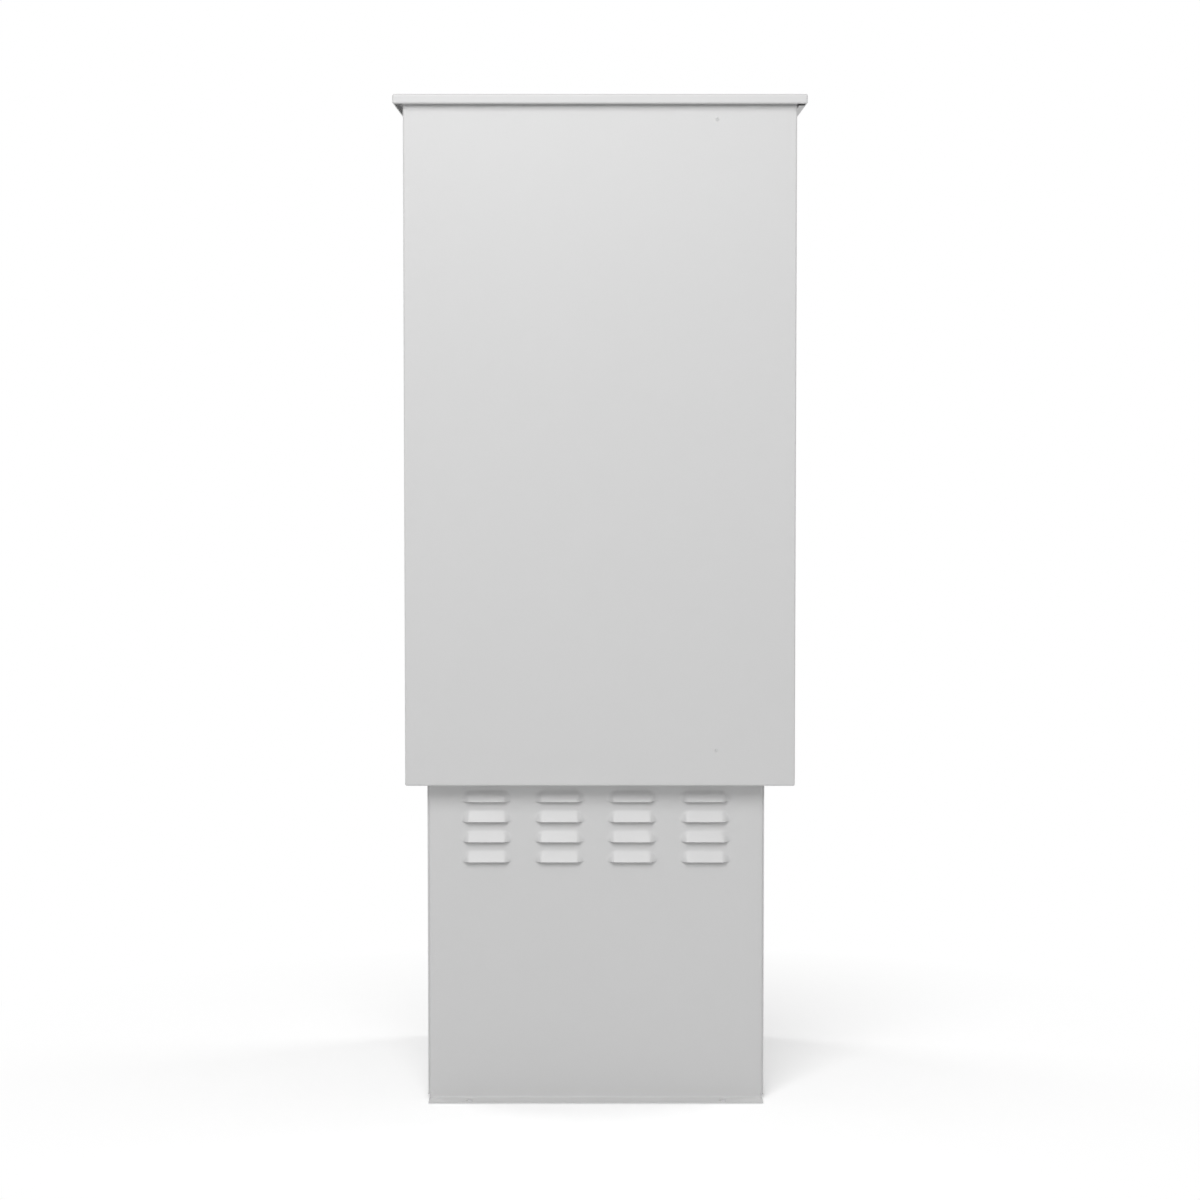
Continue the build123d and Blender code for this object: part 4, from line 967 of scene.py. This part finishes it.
class CABINET_OT_set_rivets(bpy.types.Operator):
    """Sets a blind rivet at each rail bracket, with the hole of its mandrel in the dome"""

    bl_idname = "cabinet.set_rivets"
    bl_label = "Set Rivets"

    def execute(self, context):
        sizes = context.scene.fitting_sizes
        head, shank, hole = sizes.rivet_head / 2, sizes.rivet_shank / 2, sizes.rivet_hole / 2
        dome, tail = sizes.rivet_dome, sizes.rivet_tail
        arc = [math.radians(angle) for angle in range(15, 75, 15)]
        made = []
        for low, high in solids_of("bracket_rivets"):
            side = 1 if low.y > 0 else -1
            length = high.y - low.y - dome
            profile = [
                (0, -length), (0.8 * head, -length), (head, 0.3 * tail - length), (head, tail - length),
                (shank, tail - length), (shank, 0), (head, 0),
            ]
            profile += [(head * math.cos(turn), dome * math.sin(turn)) for turn in arc]
            profile += [(1.1 * hole, dome), (hole, 0.85 * dome), (0.9 * hole, -0.6 * dome), (0, -0.7 * dome)]
            rivet = spun(profile, RIVET_SIDES)
            check_closed(rivet)
            only(rivet)
            soften(degrees=50)
            turn_to(rivet, 1, side)
            place = (low + high) / 2
            place.y = (high.y if side > 0 else low.y) - side * dome
            only(rivet).location = place
            made.append(settle())
        coat = bpy.data.materials["powder coat"]
        hand_over(join(made), "domed_rivets", coat, "cabinet_paint", "cabinet", "bracket_rivets")
        return {"FINISHED"}


class CABINET_OT_set_screws(bpy.types.Operator):
    """Sets screws with sunk drives in the plinth covers, the gland plate and the handle's plate"""

    bl_idname = "cabinet.set_screws"
    bl_label = "Set Screws"

    def execute(self, context):
        plated = bpy.data.materials["zinc plated steel"]
        sizes = context.scene.fitting_sizes
        for name, node, axis, thread, flat, body in (
            ("cover_screws", "plinth_cover_screws", 0, sizes.cover_screw, True, "cabinet"),
            ("gland_plate_screws", "gland_screws", 2, sizes.gland_screw, False, "cabinet"),
            ("handle_plate_screws", "escutcheon_screws", 0, sizes.plate_screw, False, "door"),
        ):
            height = sizes.cover_head if flat else sizes.pan_height * thread
            past = 0.0 if flat else height
            made = []
            for low, high in solids_of(node):
                sign = -1 if high[axis] < 0 else 1
                piece = screw(thread, high[axis] - low[axis] - past, thread, height, flat)
                check_closed(piece)
                turn_to(piece, axis, sign)
                place = (low + high) / 2
                place[axis] = (high[axis] if sign > 0 else low[axis]) - sign * past
                only(piece).location = place
                made.append(settle())
            hand_over(join(made), name, plated, "zinc_fastener", body, node)
        return {"FINISHED"}


class CABINET_OT_set_stage(bpy.types.Operator):
    """Sets the floor, the white surround, the lamps and the camera"""

    bl_idname = "cabinet.set_stage"
    bl_label = "Set Stage"

    def execute(self, context):
        settings = context.scene.stage_settings
        context.scene.view_settings.view_transform = "Standard"
        deselect_all()
        bpy.ops.mesh.primitive_plane_add(size=FLOOR_SIZE, location=(0, 0, -FLOOR_GAP))
        floor = settle()
        floor.name = "studio_floor"
        floor.data.materials.append(self.floor_material(settings))
        self.surround(context.scene, settings)
        for name, place, aim, size, power in LAMPS:
            self.lamp(name, place, aim, size, getattr(settings, power))
        camera = bpy.data.objects.new("camera", bpy.data.cameras.new("camera"))
        context.scene.collection.objects.link(camera)
        camera.data.sensor_width = 36.0
        camera.data.lens = settings.lens
        camera.data.clip_end = 200.0
        camera.location = settings.eye
        camera.rotation_euler = (math.pi / 2 - settings.tilt, 0.0, 0.0)
        context.scene.camera = camera
        return {"FINISHED"}

    def lamp(self, name, place, aim, size, watts):
        """A soft lamp of a width and height that looks at a point."""
        light = bpy.data.lights.new(name, "AREA")
        light.shape = "RECTANGLE"
        light.size, light.size_y = size
        light.energy = watts
        lamp = bpy.data.objects.new(name, light)
        bpy.context.scene.collection.objects.link(lamp)
        lamp.location = place
        lamp.rotation_euler = (Vector(aim) - Vector(place)).to_track_quat("-Z", "Y").to_euler()

    def seen(self, tree):
        """1 for rays from the camera, mirrors and glass."""
        path = tree.nodes.new("ShaderNodeLightPath")
        total = path.outputs["Is Camera Ray"]
        for ray in ("Is Glossy Ray", "Is Transmission Ray"):
            add = tree.nodes.new("ShaderNodeMath")
            add.operation = "ADD"
            add.use_clamp = True
            tree.links.new(total, add.inputs[0])
            tree.links.new(path.outputs[ray], add.inputs[1])
            total = add.outputs[0]
        return total

    def surround(self, scene, settings):
        """White where it is seen, soft light elsewhere."""
        world = bpy.data.worlds.new("white surround")
        world.use_nodes = True
        scene.world = world
        tree = world.node_tree
        tree.nodes.clear()
        light, white = (tree.nodes.new("ShaderNodeBackground") for _ in range(2))
        for node in (light, white):
            node.inputs["Color"].default_value = WHITE
        light.inputs["Strength"].default_value = settings.sky
        mix = tree.nodes.new("ShaderNodeMixShader")
        tree.links.new(self.seen(tree), mix.inputs[0])
        tree.links.new(light.outputs[0], mix.inputs[1])
        tree.links.new(white.outputs[0], mix.inputs[2])
        out = tree.nodes.new("ShaderNodeOutputWorld")
        tree.links.new(mix.outputs[0], out.inputs["Surface"])

    def floor_material(self, settings):
        """Pale floor that keeps the shadow near the object and fades to white away from it."""
        material, tree, shader, place = new_material("studio floor")
        shader.inputs["Roughness"].default_value = 0.9
        shader.inputs["Specular IOR Level"].default_value = 0.0
        grain = noise(tree, place, scale=8.0)
        tone = mottled(tree, grain, settings.floor, dark=0.99, light=1.01)
        seen = self.seen(tree)
        colour = blend_colours(tree, seen, shade(settings.floor, settings.floor_bounce), tone)
        tree.links.new(colour, shader.inputs["Base Color"])
        shader.inputs["Emission Color"].default_value = WHITE
        tree.links.new(times(tree, seen, settings.floor_glow), shader.inputs["Emission Strength"])
        glow = tree.nodes.new("ShaderNodeEmission")
        glow.inputs["Color"].default_value = WHITE
        length = tree.nodes.new("ShaderNodeVectorMath")
        length.operation = "LENGTH"
        tree.links.new(place, length.inputs[0])
        away = spread_to(
            tree, length.outputs["Value"], low=0.0, high=1.0, start=settings.fade_start,
            end=settings.fade_end,
        )
        mix = tree.nodes.new("ShaderNodeMixShader")
        tree.links.new(times(tree, away, seen), mix.inputs[0])
        tree.links.new(shader.outputs[0], mix.inputs[1])
        tree.links.new(glow.outputs[0], mix.inputs[2])
        tree.links.new(mix.outputs[0], tree.nodes["Material Output"].inputs["Surface"])
        return material


STEPS = (
    CABINET_OT_coat_sheet_metal,
    CABINET_OT_finish_fittings,
    CABINET_OT_press_plinth_walls,
    CABINET_OT_lay_seals,
    CABINET_OT_mould_grommets,
    CABINET_OT_set_rivets,
    CABINET_OT_set_screws,
    CABINET_OT_set_stage,
)


GROUPS = {
    "cabinet_finish": CabinetFinish,
    "plinth_sizes": PlinthSizes,
    "fitting_sizes": FittingSizes,
    "stage_settings": StageSettings,
}


class CABINET_PT_sidebar(bpy.types.Panel):
    """Lists the steps that dress the cabinet and their settings"""

    bl_idname = "CABINET_PT_sidebar"
    bl_label = "Network Cabinet"
    bl_space_type = "VIEW_3D"
    bl_region_type = "UI"
    bl_category = "Cabinet"

    def draw(self, context):
        for step in STEPS:
            self.layout.operator(step.bl_idname)
        for name, group in GROUPS.items():
            column = self.layout.column()
            for setting in group.__annotations__:
                column.prop(getattr(context.scene, name), setting)


def register():
    for group in GROUPS.values():
        bpy.utils.register_class(group)
    for name, group in GROUPS.items():
        setattr(bpy.types.Scene, name, PointerProperty(type=group))
    for step in (*STEPS, CABINET_PT_sidebar):
        bpy.utils.register_class(step)


def unregister():
    for step in (CABINET_PT_sidebar, *reversed(STEPS)):
        bpy.utils.unregister_class(step)
    for name in GROUPS:
        delattr(bpy.types.Scene, name)
    for group in GROUPS.values():
        bpy.utils.unregister_class(group)


def main():
    register()
    bpy.ops.cabinet.coat_sheet_metal()
    bpy.ops.cabinet.finish_fittings()
    bpy.ops.cabinet.press_plinth_walls()
    bpy.ops.cabinet.lay_seals()
    bpy.ops.cabinet.mould_grommets()
    bpy.ops.cabinet.set_rivets()
    bpy.ops.cabinet.set_screws()
    bpy.ops.cabinet.set_stage()
    deselect_all()


if __name__ == "__main__":
    main()
